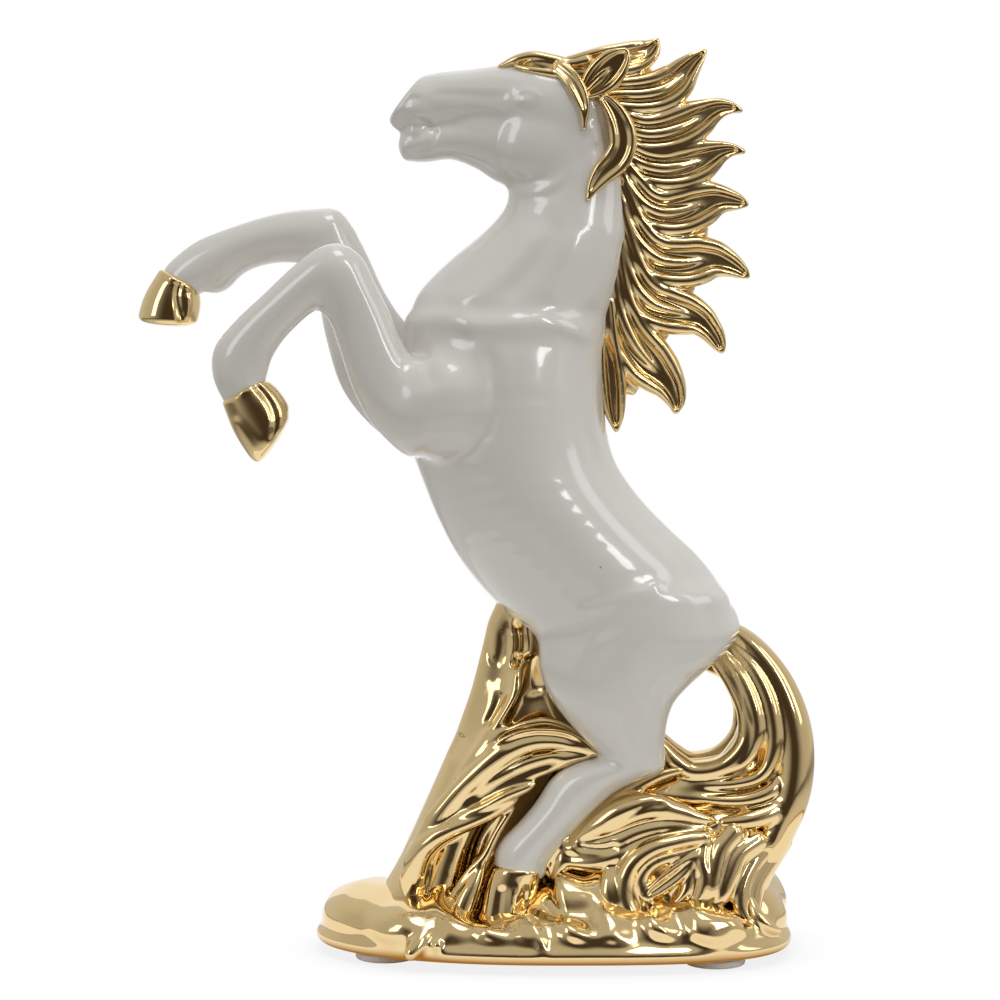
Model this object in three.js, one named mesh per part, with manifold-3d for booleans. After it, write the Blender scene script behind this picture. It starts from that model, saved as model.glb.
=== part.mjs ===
// A rearing horse ornament in slip-cast ceramic: a white glazed horse with gilded mane, tail and hooves,
// standing on a gilded rocky base with a trunk under its belly and leaf scrolls behind its legs.
// Millimetres, +Z up. The horse faces -X and its left side is -Y. The origin is on the shelf, under the
// middle of the piece.
import * as THREE from 'three';
import { mergeVertices } from 'three/addons/utils/BufferGeometryUtils.js';
import Module from 'manifold-3d';

const wasm = await Module();
wasm.setup();

// Driving dimensions
const SEAM = 0.3; // the slip line between two castings
const PAD_DIAMETER = 21;
const PAD_THICKNESS = 2.5;
const PAD_EDGE_ROUND = 0.8;
const PAD_ADHESIVE = 0.3;
const PAD_FRONT_INSET = 25.5; // from the end of the base to a pad's middle
const PAD_REAR_INSET = 28.5;
const PAD_FRONT_SPREAD = 17; // from the middle plane to a pad's middle
const PAD_REAR_SPREAD = 26;

const BASE_LENGTH = 168;
const BASE_DEPTH = 93;
const BASE_HEIGHT = 14;
const BASE_CENTRE_X = 27.5;
const BASE_WALL = 4.5;
const VENT_DIAMETER = 12;

const TORSO_WIDTH = 66;
const NECK_WIDTH = 29; // under the jaw
const HEAD_WIDTH = 28; // across the eyes
const EYE_DIAMETER = 6;
const SHOULDER_WIDTH = 24; // of the muscle lobe over one foreleg
const FORE_SPREAD = 20; // from the middle plane to the middle of a foreleg
const FORE_CANNON_WIDTH = 14.4;
const HIND_SPREAD = 17.5;
const HIND_CANNON_WIDTH = 18.4;
const THIGH_WIDTH = 36;
const EAR_WIDTH = 8;
const EAR_WALL = 1.8;
const EAR_SPREAD = 10;
const FORELOCK_WIDTH = 18;
const CHEEK_LOCK_WIDTH = 8;
const MANE_WIDTH = 17;
const TAIL_WIDTH = 27; // where it leaves the loop
const TRUNK_WIDTH = 26;
const SCROLL_WIDTH = 44;
const STRAND_FULLNESS = 0.9; // a strand's width across, as a share of its depth

const white = new THREE.MeshStandardMaterial({ name: 'white_glaze', color: 0xe9e9e6, roughness: 0.08 });
const gold = new THREE.MeshStandardMaterial({ name: 'gold_lustre', color: 0xd9a441, roughness: 0.1, metalness: 1 });
const rubber = new THREE.MeshStandardMaterial({ name: 'clear_rubber', color: 0xc3c7cb, roughness: 0.45 });

const THINNEST = 0.4; // half of the finest edge that slip will cast
const LEFT = -1;
const RIGHT = 1;
const SIDES = [['left', LEFT], ['right', RIGHT]];

// Solids

// A closed geometry as a solid that can be joined and cut.
function solidOf(geometry) {
  const bare = geometry.clone();
  bare.deleteAttribute('normal');
  bare.deleteAttribute('uv');
  const merged = mergeVertices(bare, 1e-4);
  return new wasm.Manifold(new wasm.Mesh({
    numProp: 3,
    vertProperties: new Float32Array(merged.attributes.position.array),
    triVerts: new Uint32Array(merged.index.array),
  }));
}

function geometryOf(solid) {
  const mesh = solid.getMesh();
  const geometry = new THREE.BufferGeometry();
  geometry.setAttribute('position', new THREE.BufferAttribute(new Float32Array(mesh.vertProperties), 3));
  geometry.setIndex(new THREE.BufferAttribute(new Uint32Array(mesh.triVerts), 1));
  geometry.computeVertexNormals();
  return geometry;
}

const joined = (...solids) => solids.flat().reduce((whole, solid) => whole.add(solid));

const cut = (solid, ...tools) => tools.flat().reduce((rest, tool) => rest.subtract(tool), solid);

// A cut can leave loose crumbs beside the casting, which is the largest body.
function casting(solid) {
  return solid.decompose().reduce((best, body) => (body.volume() > best.volume() ? body : best));
}

// A closed skin over rings of points that all run the same way round, with a fan to a pole at each end.
function skin(rings, startPole, endPole) {
  const sides = rings[0].length;
  const start = rings.length * sides;
  const lastRing = start - sides;
  const triangles = [];
  for (let j = 0; j < sides; j += 1) {
    const k = (j + 1) % sides;
    for (let ring = 0; ring < lastRing; ring += sides) {
      triangles.push(ring + j, ring + k, ring + sides + j);
      triangles.push(ring + k, ring + sides + k, ring + sides + j);
    }
    triangles.push(start, k, j);
    triangles.push(lastRing + j, lastRing + k, start + 1);
  }
  const geometry = new THREE.BufferGeometry().setFromPoints([...rings.flat(), startPole, endPole]);
  geometry.setIndex(triangles);
  return geometry;
}

const curveThrough = (points) => new THREE.CatmullRomCurve3(points, false, 'centripetal');

// A closed form of oval rings, with a dome at each end. frameAt(t) gives the ring at t from 0 to 1: its centre, its
// directions along and across the form and through its depth, and its half depth and half width.
// A dome stands dome times the end's mean radius high, with a ring at each of domeLifts of that height.
function loft(frameAt, spans, { grow = 0, sides = 10, dome = 0.6, domeLifts = [0.7] } = {}) {
  const ringAt = (t, lift = 0) => {
    const { centre, along, through, across, deep, wide } = frameAt(t);
    const halfDeep = Math.max(deep, THINNEST) + grow;
    const halfWide = Math.max(wide, THINNEST) + grow;
    const middle = centre.clone().addScaledVector(along, (lift * dome * (halfDeep + halfWide)) / 2);
    const shrink = Math.sqrt(1 - lift * lift);
    return { middle, points: ovalRing(middle, through, across, halfDeep * shrink, halfWide * shrink, sides) };
  };
  const rings = [
    ...domeLifts.map((lift) => ringAt(0, -lift)),
    ...Array.from({ length: spans + 1 }, (_, i) => ringAt(i / spans)),
    ...domeLifts.toReversed().map((lift) => ringAt(1, lift)),
  ];
  return solidOf(skin(rings.map((ring) => ring.points), ringAt(0, -1).middle, ringAt(1, 1).middle));
}

// A rounded limb along a smooth curve through its sections [x, y, z, half depth, half width]. Its rings stand
// square to the curve, with the width level.
function limb(sections, { steps = 1, ...options } = {}) {
  const path = curveThrough(sections.map(([x, y, z]) => new THREE.Vector3(x, y, z)));
  const size = curveThrough(sections.map(([, , , deep, wide]) => new THREE.Vector3(deep, wide, 0)));
  const frameAt = (t) => {
    const along = path.getTangent(t);
    const across = new THREE.Vector3(0, 1, 0).addScaledVector(along, -along.y).normalize();
    const through = new THREE.Vector3().crossVectors(across, along);
    return { centre: path.getPoint(t), along, across, through, deep: size.getPoint(t).x, wide: size.getPoint(t).y };
  };
  return loft(frameAt, (sections.length - 1) * steps, options);
}

// A body whose rings are given by their ends in profile, from the top down: [front x, z, back x, z, half width].
function profileBody(sections, { steps = 1, ...options } = {}) {
  const front = curveThrough(sections.map(([x, z]) => new THREE.Vector3(x, 0, z)));
  const back = curveThrough(sections.map(([, , x, z]) => new THREE.Vector3(x, 0, z)));
  const width = curveThrough(sections.map(([, , , , wide], i) => new THREE.Vector3(wide, i, 0)));
  const across = new THREE.Vector3(0, 1, 0);
  const frameAt = (t) => {
    const depth = front.getPoint(t).sub(back.getPoint(t));
    const centre = back.getPoint(t).addScaledVector(depth, 0.5);
    const through = depth.clone().normalize();
    const along = new THREE.Vector3().crossVectors(through, across);
    return { centre, along, across, through, deep: depth.length() / 2, wide: width.getPoint(t).x };
  };
  return loft(frameAt, (sections.length - 1) * steps, options);
}

// Points round an oval, from the direction u towards the direction v.
function ovalRing(centre, u, v, halfU, halfV, sides) {
  return Array.from({ length: sides }, (_, i) => {
    const turn = (2 * Math.PI * i) / sides;
    return centre.clone()
      .addScaledVector(u, halfU * Math.cos(turn))
      .addScaledVector(v, halfV * Math.sin(turn));
  });
}

// An egg shape about [x, y, z] with the three half sizes given.
function ovoid([x, y, z], [rx, ry, rz], { grow = 0, sides = 12 } = {}) {
  const ball = new THREE.SphereGeometry(1, sides, sides / 2 + 1);
  ball.scale(rx + grow, ry + grow, rz + grow);
  ball.translate(x, y, z);
  return solidOf(ball);
}

// A limb in a plane at y, from sections [x, z, half depth, half width].
function flatLimb(sections, y, options) {
  return limb(sections.map(([x, z, deep, wide]) => [x, y, z, deep, wide]), options);
}

// A tapering lock, leaf or scroll, from [x, distance from the middle plane, z, half depth].
function strand(points, side, { fullness = STRAND_FULLNESS, sides = 5, grow = 0 } = {}) {
  const steps = points.length === 4 ? 2 : 1;
  const sections = points.map(([x, out, z, deep]) => [x, side * out, z, deep, deep * fullness]);
  return limb(sections, { sides, steps, grow, dome: 0.9, domeLifts: [] });
}

// Horse
// Heights here and below are above the ground that the hooves stand on.

const torsoHalf = TORSO_WIDTH / 2;
const neckHalf = NECK_WIDTH / 2;
const headHalf = HEAD_WIDTH / 2;

// From the withers and the top of the chest down the barrel and round the croup.
const TORSO = [
  [-24.3, 204, 46, 201.5, 0.83 * torsoHalf],
  [-25.5, 190, 45, 190, 0.91 * torsoHalf],
  [-25, 176, 45, 177, 0.97 * torsoHalf],
  [-23, 162, 47, 164, torsoHalf],
  [-18.5, 149, 51, 154, torsoHalf],
  [-12, 134, 58, 143.5, torsoHalf],
  [-5, 121.5, 68, 133, 0.98 * torsoHalf],
  [5, 109, 79, 122, 0.96 * torsoHalf],
  [18, 96, 88, 109, 0.94 * torsoHalf],
  [34, 83, 92, 97, 0.9 * torsoHalf],
  [50, 74.5, 90, 88.5, 0.72 * torsoHalf],
  [61, 72, 84, 82.5, 0.45 * torsoHalf],
];
const torsoForm = (grow = 0) => profileBody(TORSO, { grow, sides: 18, dome: 0.15 });

// From the poll down to the shoulders, which it meets in a low ridge.
const NECK = [
  [23.5, 278, 50, 277, 0.86 * neckHalf],
  [21, 268, 51, 268, 0.93 * neckHalf],
  [16.5, 259.5, 53, 257.5, neckHalf],
  [12, 251, 54, 247, 1.05 * neckHalf],
  [10, 243, 54, 236, 1.2 * neckHalf],
  [2.2, 235, 52.5, 226, 0.6 * torsoHalf],
  [-7, 227, 50.5, 217, 0.67 * torsoHalf],
  [-15.5, 219, 48.5, 210, 0.73 * torsoHalf],
  [-20.8, 212, 47, 206, 0.77 * torsoHalf],
  [-23, 202, 45.5, 199, 0.8 * torsoHalf],
];
const neckForm = (grow = 0) => profileBody(NECK, { grow, sides: 14, dome: 0.3 });

// The skull, nose and upper lip, and under them the lower jaw and chin.
const SKULL = [
  [39, 279, 13.5, 0.86 * headHalf],
  [29.5, 277, 17, headHalf],
  [19, 279.5, 14.5, 0.96 * headHalf],
  [9, 281.5, 11, 0.75 * headHalf],
  [-1.5, 282, 8.5, 0.61 * headHalf],
  [-12, 280.7, 8.3, 0.57 * headHalf],
  [-19.5, 279.5, 8, 0.61 * headHalf],
  [-25.5, 276.5, 5, 0.46 * headHalf],
];
const JAW = [
  [32.5, 267.5, 15.5, 0.89 * headHalf],
  [22.5, 266.5, 15.5, 0.93 * headHalf],
  [12, 268.5, 14.5, 0.79 * headHalf],
  [2, 269, 11, 0.64 * headHalf],
  [-8.5, 268, 7.5, 0.51 * headHalf],
  [-17.5, 265.8, 5.8, 0.5 * headHalf],
  [-22.7, 265, 4.8, 0.43 * headHalf],
];
const JOWL_SIZE = [12.5, 0.5 * headHalf, 12.5];
const NOSTRIL_SIZE = [2.4, 2.2, 1.5];

function headForm(grow = 0) {
  const sides = 12;
  const eyeRadius = EYE_DIAMETER / 2;
  const halves = SIDES.flatMap(([, side]) => [
    ovoid([26.5, side * 0.55 * headHalf, 263.5], JOWL_SIZE, { grow }),
    ovoid([19, side * 0.87 * headHalf, 279.5], [eyeRadius, eyeRadius, 0.7 * eyeRadius], { grow, sides: 8 }),
  ]);
  return joined(flatLimb(SKULL, 0, { grow, sides }), flatLimb(JAW, 0, { grow, sides }), halves);
}

const nostrils = SIDES.map(([, side]) => ovoid([-23.5, side * 0.5 * headHalf, 278.5], NOSTRIL_SIZE, { sides: 8 }));

// Each foreleg is a shoulder lobe, a forearm up to the knee and a cannon down to the hoof. The hoof is given by
// four points [x, z]: its coronet front and back, then the toe and heel of its sole.
const FORELEGS = {
  left: {
    shoulder: [-11, 175, 18.5, 18],
    forearm: [
      [-14, 176.5, 15, 0.9],
      [-25, 179.5, 12, 0.8],
      [-32, 186.5, 10, 0.7],
      [-38, 197.5, 8, 0.6],
      [-43.5, 211, 8.3, 0.57],
      [-47.5, 220, 9.3, 0.58],
    ],
    cannon: [
      [-47, 221, 9.3, 0.58],
      [-57.5, 216, 9, 0.53],
      [-66, 210, 8.5, 0.5],
      [-74.5, 201, 9, 0.5],
      [-79.5, 193.5, 9.5, 0.54],
      [-80.5, 187, 9.3, 0.54],
      [-78.3, 180.5, 7.8, 0.52],
    ],
    hoof: [[-85.5, 176], [-69.5, 183], [-73, 157.5], [-64.5, 177.5]],
  },
  right: {
    shoulder: [-12.5, 176, 17.5, 17.5],
    forearm: [
      [-14, 176, 15, 0.9],
      [-22, 177.5, 14, 0.85],
      [-30, 185, 11.5, 0.75],
      [-39.5, 204, 10, 0.64],
      [-45, 219, 10, 0.6],
      [-49.5, 229.5, 10.3, 0.58],
    ],
    cannon: [
      [-49, 230.5, 10, 0.58],
      [-60, 233, 9, 0.53],
      [-71, 232.5, 8.5, 0.5],
      [-81.5, 229, 8.5, 0.5],
      [-90, 225.5, 9, 0.52],
      [-97, 222, 9, 0.53],
      [-102.5, 218.5, 7.8, 0.51],
    ],
    hoof: [[-109.5, 221.5], [-97.5, 213.5], [-119.5, 205.5], [-99, 204]],
  },
};

const ofCannon = (sections) => sections.map(([x, z, deep, share]) => [x, z, deep, share * FORE_CANNON_WIDTH]);

function forelegForm(name, side) {
  const { shoulder: [x, z, deep, tall], forearm, cannon } = FORELEGS[name];
  const y = side * FORE_SPREAD;
  return joined(
    ovoid([x, y, z], [deep, SHOULDER_WIDTH / 2, tall], { sides: 12 }),
    flatLimb(ofCannon(forearm), y),
    flatLimb(ofCannon(cannon), y),
  );
}

// A hoof: an oval coronet ruled down to a wider oval sole with a dished middle.
function hoofForm([front, back, toe, heel], y, width, grow = 0) {
  const at = ([x, z]) => new THREE.Vector3(x, y, z);
  const ringBetween = (share, inset = 0) => {
    const fore = at(front).lerp(at(toe), share);
    const rear = at(back).lerp(at(heel), share);
    const length = fore.clone().sub(rear);
    const half = length.length() / 2 + grow - inset;
    const halfWidth = (0.5 + 0.1 * share) * width + grow - inset;
    const middle = fore.clone().add(rear).divideScalar(2);
    return { middle, points: ovalRing(middle, length.normalize(), new THREE.Vector3(0, 1, 0), half, halfWidth, 12) };
  };
  const down = at(toe).add(at(heel)).sub(at(front)).sub(at(back)).normalize();
  const lift = (ring, by) => ring.points.map((point) => point.addScaledVector(down, by));
  const crown = ringBetween(0, 1.2);
  const sole = ringBetween(1, 2.5);
  const rings = [
    lift(crown, -1.2 - grow),
    ringBetween(0).points,
    ringBetween(0.5).points,
    ringBetween(1).points,
    lift(sole, 0.8 + grow),
  ];
  const startPole = crown.middle.addScaledVector(down, -1.6 - grow);
  const endPole = sole.middle.addScaledVector(down, 0.2 + grow);
  return solidOf(skin(rings, startPole, endPole));
}

const foreHoofForm = (name, side, grow = 0) => (
  hoofForm(FORELEGS[name].hoof, side * FORE_SPREAD, 1.1 * FORE_CANNON_WIDTH, grow)
);

// The thigh and gaskin down to the hock, then the cannon forward to the pastern.
const thighHalf = THIGH_WIDTH / 2;
const hindHalf = HIND_CANNON_WIDTH / 2;
const THIGH = [
  [58, 12.5, 99, 25, thighHalf],
  [47.5, 15.5, 87, 22.3, 0.9 * thighHalf],
  [45.5, 17, 75, 19.5, 1.45 * hindHalf],
  [49, 17.5, 64.5, 15.7, 1.25 * hindHalf],
  [56.5, 17.5, 57.5, 12.5, 1.12 * hindHalf],
];
const HIND_CANNON = [
  [56, 56, 11, 1.12 * hindHalf],
  [45, 48.5, 11.3, 1.05 * hindHalf],
  [35.5, 43, 12, hindHalf],
  [25.5, 35.5, 11.5, hindHalf],
  [18, 25.5, 10, hindHalf],
  [14.5, 16, 9, hindHalf],
];
const HIND_HOOF = [[5, 12.5], [23.5, 13.5], [1.5, -2], [22, -2]];

function hindLegForm(side, grow = 0) {
  const thigh = THIGH.map(([x, out, z, deep, wide]) => [x, side * (out - 17.5 + HIND_SPREAD), z, deep, wide]);
  const cannon = flatLimb(HIND_CANNON, side * HIND_SPREAD, { grow });
  return joined(limb(thigh, { grow, sides: 12 }), cannon);
}

const hindHoofForm = (side, grow = 0) => hoofForm(HIND_HOOF, side * HIND_SPREAD, HIND_CANNON_WIDTH, grow);

// Everything on one side of the middle plane, held off it by half a seam, keeps paired castings apart.
function halfSpace(side) {
  const reach = 1000;
  const box = new THREE.BoxGeometry(reach, reach, reach);
  box.translate(0, side * (reach / 2 + SEAM / 2), 0);
  return solidOf(box);
}

// Gilded hair

const maneHalf = MANE_WIDTH / 2;
const MANE_CREST = [
  [40, 290, 5, 0.82],
  [49.5, 281, 9, 1],
  [55, 267.5, 11, 1],
  [58, 250, 12, 1],
  [58, 232.5, 12, 1],
  [54, 215.5, 11, 0.94],
  [50, 199.5, 9, 0.88],
  [47, 184, 5.5, 0.7],
];

// Nine flame locks, the root first and the tip last, with a shorter ridge in the valley below each.
const MANE_LOCKS = [
  [[38, 0, 290, 5.5], [49.5, 0, 295.5, 6], [57, 0, 298, 4.5], [63, 0, 301.5, 1]],
  [[49.5, 2, 281.5, 7], [62.5, 2.5, 283, 6.5], [72.5, 3, 288, 4.5], [79.5, 3, 297, 0.9]],
  [[52, -2, 273.5, 7], [65, -2, 271.5, 6.5], [79, -2.5, 277, 4.8], [91, -3, 277.5, 1.1]],
  [[53, 2, 264, 7], [66, 2, 258.5, 7], [80, 2.5, 260.5, 5], [92.5, 3, 263, 1.1]],
  [[54, -2, 251.5, 7.5], [66, -2, 244, 7.5], [80, -2.5, 243, 5.5], [93, -3, 246, 1.1]],
  [[54.5, 2, 239.5, 7.5], [67, 2, 228.5, 7.5], [81, 2.5, 223.5, 5.8], [94, 3, 220, 1.2]],
  [[52, -2, 225, 7.5], [61, -2, 212, 7.5], [75, -2.5, 204.5, 5.8], [85, -3, 194.5, 1.3]],
  [[50, 2, 210, 7.5], [56.5, 2, 196, 7.5], [67, 2.5, 185.5, 5.5], [71.5, 3, 174, 1.4]],
  [[46.5, 0, 196, 5], [47.5, 0, 182.5, 4.8], [49.5, 0, 167.5, 1]],
];
const MANE_RIDGES = [
  [[44, 0, 284, 3.5], [56, 0, 288.5, 3.5], [66, 0, 291, 1.2]],
  [[54, 0, 276, 3.2], [66, 0, 278, 3.2], [76, 0, 283, 1.2]],
  [[56, 0, 267, 3.5], [69, 0, 264.5, 3.5], [82, 0, 268, 1.2]],
  [[57, 0, 256, 3.5], [70, 0, 251.5, 3.5], [84, 0, 253.5, 1.2]],
  [[58, 0, 244, 3.5], [71, 0, 236, 3.5], [84, 0, 234, 1.2]],
  [[57, 0, 231, 3.5], [68, 0, 219.5, 3.5], [80, 0, 212, 1.2]],
  [[54, 0, 217, 3.5], [63, 0, 203, 3.5], [72, 0, 194.5, 1.2]],
  [[51, 0, 202, 3.2], [57, 0, 188, 3.2], [63, 0, 179, 1.2]],
];

function maneForm(grow = 0) {
  const crest = flatLimb(MANE_CREST.map(([x, z, deep, share]) => [x, z, deep, share * maneHalf]), 0, { grow });
  const fullness = 0.75 * (MANE_WIDTH / 17);
  const locks = MANE_LOCKS.map((lock) => strand(lock, LEFT, { fullness, grow }));
  const ridges = MANE_RIDGES.map((ridge) => strand(ridge, LEFT, { fullness: maneHalf / 3.5, grow }));
  return joined(crest, locks, ridges);
}

// The forelock crosses the brow and sends a pointed lock down each temple.
const FORELOCK = [
  [9, 291.8, 1.6, 0.4],
  [19, 293.5, 4, 0.75],
  [29.5, 291.5, 5.5, 1],
  [38, 289, 5.5, 1],
];
const TEMPLE_LOCK = [
  [25, 5.5, 291.5, 3.5],
  [31, 11, 285.5, 4.2],
  [34, 12.6, 279, 3],
  [37, 13, 270.5, 0.8],
];

function forelockForm(grow = 0) {
  const band = FORELOCK.map(([x, z, deep, share]) => [x, z, deep, share * FORELOCK_WIDTH / 2]);
  const temples = SIDES.map(([, side]) => strand(TEMPLE_LOCK, side, { fullness: 0.8, grow }));
  return joined(flatLimb(band, 0, { grow }), temples);
}

// An ear is a leaf hollowed towards the side, from its root [x, out, z] past its widest part to its tip.
const EAR = [
  [38, 0, 281.5, 0.55, 0.8],
  [43, 1, 286.5, 1, 1],
  [48, 2.4, 291, 0.8, 0.85],
  [53.5, 3.5, 296.5, 0.16, 0.3],
];

function earForm(side, grow = 0) {
  const half = EAR_WIDTH / 2;
  const outer = EAR.map(([x, out, z, deep, wide]) => [x, side * (EAR_SPREAD + out), z, deep * half, wide * half]);
  const hollow = outer.slice(1).map(([x, y, z, deep, wide]) => (
    [x, y + side * (EAR_WALL + 0.4), z, Math.max(deep - EAR_WALL, 0.4), Math.max(wide, 0.5)]
  ));
  return cut(limb(outer, { grow, sides: 10 }), limb(hollow, { sides: 8 }));
}

// A lock that hangs in an S behind the cheek.
const CHEEK_LOCK = [
  [43, 11.5, 280, 2.4],
  [48.5, 11.5, 272, 3.8],
  [51, 11, 263.5, 4.2],
  [47.5, 12, 256, 3.8],
  [42.5, 13.5, 250.5, 2.4],
  [39, 14.5, 246, 0.6],
];
const cheekLockForm = (side) => (
  strand(CHEEK_LOCK, side, { fullness: CHEEK_LOCK_WIDTH / 8, sides: 8 })
);

// The tail leaves the croup, swings out and back and spreads over the base. Its inner strand turns forward
// under the loop to the hock.
const tailHalf = TAIL_WIDTH / 2;
const TAIL = [
  [85, 93, 8, 0.6],
  [95, 87.5, 10.5, 0.72],
  [101.5, 78.5, 12.3, 0.85],
  [104.5, 68, 13.3, 0.93],
  [104.5, 55.5, 14.5, 1],
  [101, 43, 16, 1.1],
  [95, 30.5, 17.5, 1.25],
  [88.5, 18, 17.5, 1.35],
  [84, 5, 17, 1.4],
];
const TAIL_STRANDS = [
  [[91.5, 5, 93, 3], [110, 6, 75, 4.5], [114.8, 8, 57, 4.8], [112, 10, 39.5, 5.2], [104.5, 12, 23, 5], [98, 13, 6, 4]],
  [[90, 7, 88, 3.5], [101, 10, 74, 4.5], [104.5, 13, 58, 5], [99, 15, 42, 5], [87, 17, 33, 4]],
  [[88, 6, 84, 3], [94.5, 8, 72, 4], [96, 11, 59, 4.5], [88, 13, 49.5, 4.5], [76, 13, 47.5, 4.2], [66, 13, 49, 2]],
];

function tailForm() {
  const core = flatLimb(TAIL.map(([x, z, deep, share]) => [x, z, deep, share * tailHalf]), 0, { sides: 13 });
  const strands = SIDES.flatMap(([, side]) => TAIL_STRANDS.map((points) => strand(points, side)));
  const web = flatLimb([[92, 50, 7, tailHalf], [80, 46, 6, tailHalf], [68, 46, 5, 0.8 * tailHalf]], 0);
  return joined(core, strands, web);
}

// Base and its plants

const baseTop = 0;
const baseBottom = -BASE_HEIGHT;
const FRONT_FULLNESS = 2.1; // exponents of the outline's two ends: the tail end is squarer
const REAR_FULLNESS = 3;
const BASE_POINTS = 32;

// One level of the base: a superellipse drawn in by inset, with its edge waved like weathered rock.
function baseRing(z, inset) {
  const signedPower = (value, power) => Math.sign(value) * Math.abs(value) ** power;
  return Array.from({ length: BASE_POINTS }, (_, i) => {
    const turn = (2 * Math.PI * i) / BASE_POINTS;
    const fullness = Math.cos(turn) < 0 ? FRONT_FULLNESS : REAR_FULLNESS;
    const swell = 1 + 0.008 * Math.sin(5 * turn + 0.6) + 0.006 * Math.sin(9 * turn + 2);
    const x = (BASE_LENGTH / 2 - inset) * signedPower(Math.cos(turn), 2 / fullness) * swell;
    const y = (BASE_DEPTH / 2 - inset) * signedPower(Math.sin(turn), 2 / fullness) * swell;
    return new THREE.Vector3(BASE_CENTRE_X + x, y, z);
  });
}

// Levels as [share of the height above the underside, inset].
const BASE_LEVELS = [[0, 4], [0.12, 1], [0.3, 0], [0.55, 0.2], [0.8, 3], [1, 10]];
const CAVITY_LEVELS = [[0, 3], [0.5, 0], [1, 7]];

function baseBody(levels, wall) {
  const height = BASE_HEIGHT - 2 * wall;
  const rings = levels.map(([share, inset]) => baseRing(baseBottom + wall + share * height, inset + wall));
  const middle = (z) => new THREE.Vector3(BASE_CENTRE_X, 0, z);
  return solidOf(skin(rings, middle(baseBottom + wall), middle(baseTop - wall)));
}

// Boulders as [x, distance from the middle plane, z, half sizes]: one at each end and pairs along the sides.
const END_BOULDERS = [
  [-36, 0, -4, 18, 27, 10],
  [98, 0, -2, 11, 27, 12.5],
];
const SIDE_BOULDERS = [
  [-14, 20, -4, 14, 14, 8.5],
  [12, 20, -4, 19, 14, 6.5],
  [44, 24, -5, 19, 14, 8],
  [76, 27, -5, 15, 12, 9],
];

function baseForm(grow = 0) {
  const rock = ([x, out, z, ...size], side) => ovoid([x, side * out, z], size, { grow, sides: 10 });
  const ends = END_BOULDERS.map((boulder) => rock(boulder, RIGHT));
  const edges = SIDES.flatMap(([, side]) => SIDE_BOULDERS.map((boulder) => rock(boulder, side)));
  const ground = new THREE.BoxGeometry(2 * BASE_LENGTH, 2 * BASE_LENGTH, BASE_LENGTH);
  ground.translate(BASE_CENTRE_X, 0, baseBottom - BASE_LENGTH / 2 - grow);
  return cut(joined(baseBody(BASE_LEVELS, -grow), ends, edges), solidOf(ground));
}

// The base is cast hollow, with a vent through its underside.
function hollowBase() {
  const vent = new THREE.CylinderGeometry(VENT_DIAMETER / 2, VENT_DIAMETER / 2, BASE_HEIGHT, 24);
  vent.rotateX(Math.PI / 2);
  vent.translate(BASE_CENTRE_X, 0, baseBottom);
  return cut(baseForm(), baseBody(CAVITY_LEVELS, BASE_WALL), solidOf(vent));
}

// A trunk that props the belly, with leaves that arch back over the hind legs.
const trunkHalf = TRUNK_WIDTH / 2;
const TRUNK = [
  [4, 104, 23.5, 104, 0.8 * trunkHalf],
  [3, 90, 23, 90, 0.85 * trunkHalf],
  [0.5, 78, 20.5, 79, 0.92 * trunkHalf],
  [-4, 66, 15, 69, trunkHalf],
  [-8, 56, 9, 60, 1.05 * trunkHalf],
  [-12, 46, 3, 51, 1.12 * trunkHalf],
  [-16.5, 36, -3, 41, 1.2 * trunkHalf],
  [-21, 26, -8, 30, 1.3 * trunkHalf],
  [-25, 16, -12, 18, 1.4 * trunkHalf],
  [-31, 3, -15, 3, 1.6 * trunkHalf],
];
const LEAVES = [
  [[-17.5, 12, 22, 5], [-8.5, 13, 36, 6], [2, 14, 47, 5.5], [19, 15, 55, 4.5], [33, 17, 56.5, 3.5], [44, 19, 53, 1]],
  [[-1.5, 9, 46, 5], [9, 11, 56.5, 4.5], [17.5, 12, 62, 4], [25.5, 13, 64, 3], [35, 15, 60, 1]],
  [[-15, 14, 20.5, 6], [-7, 16, 29.5, 5], [5.5, 17, 38.5, 4], [17.5, 18, 43.5, 2.5], [24, 18, 47, 1]],
  [[-15.5, 15, 4, 7], [-8.5, 17, 17, 5], [2, 17, 28, 4], [10.5, 17, 34, 2.5], [15.5, 17, 39, 1]],
];

// The sheet of leaf behind them that closes the space between the trunk and the hind legs.
const BACKING_LEAF = [[16, 98, 25, 98], [15, 84, 27, 84], [10, 70, 27, 68], [0, 54, 25, 50], [-8, 34, 20, 32], [-14, 8, 14, 8]];

function trunkForm() {
  const trunk = profileBody(TRUNK, { sides: 12 });
  const backing = profileBody(BACKING_LEAF.map((ends) => [...ends, 0.45 * trunkHalf]));
  const leaves = SIDES.flatMap(([, side]) => LEAVES.map((points) => strand(points, side)));
  return joined(trunk, backing, leaves);
}

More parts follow.
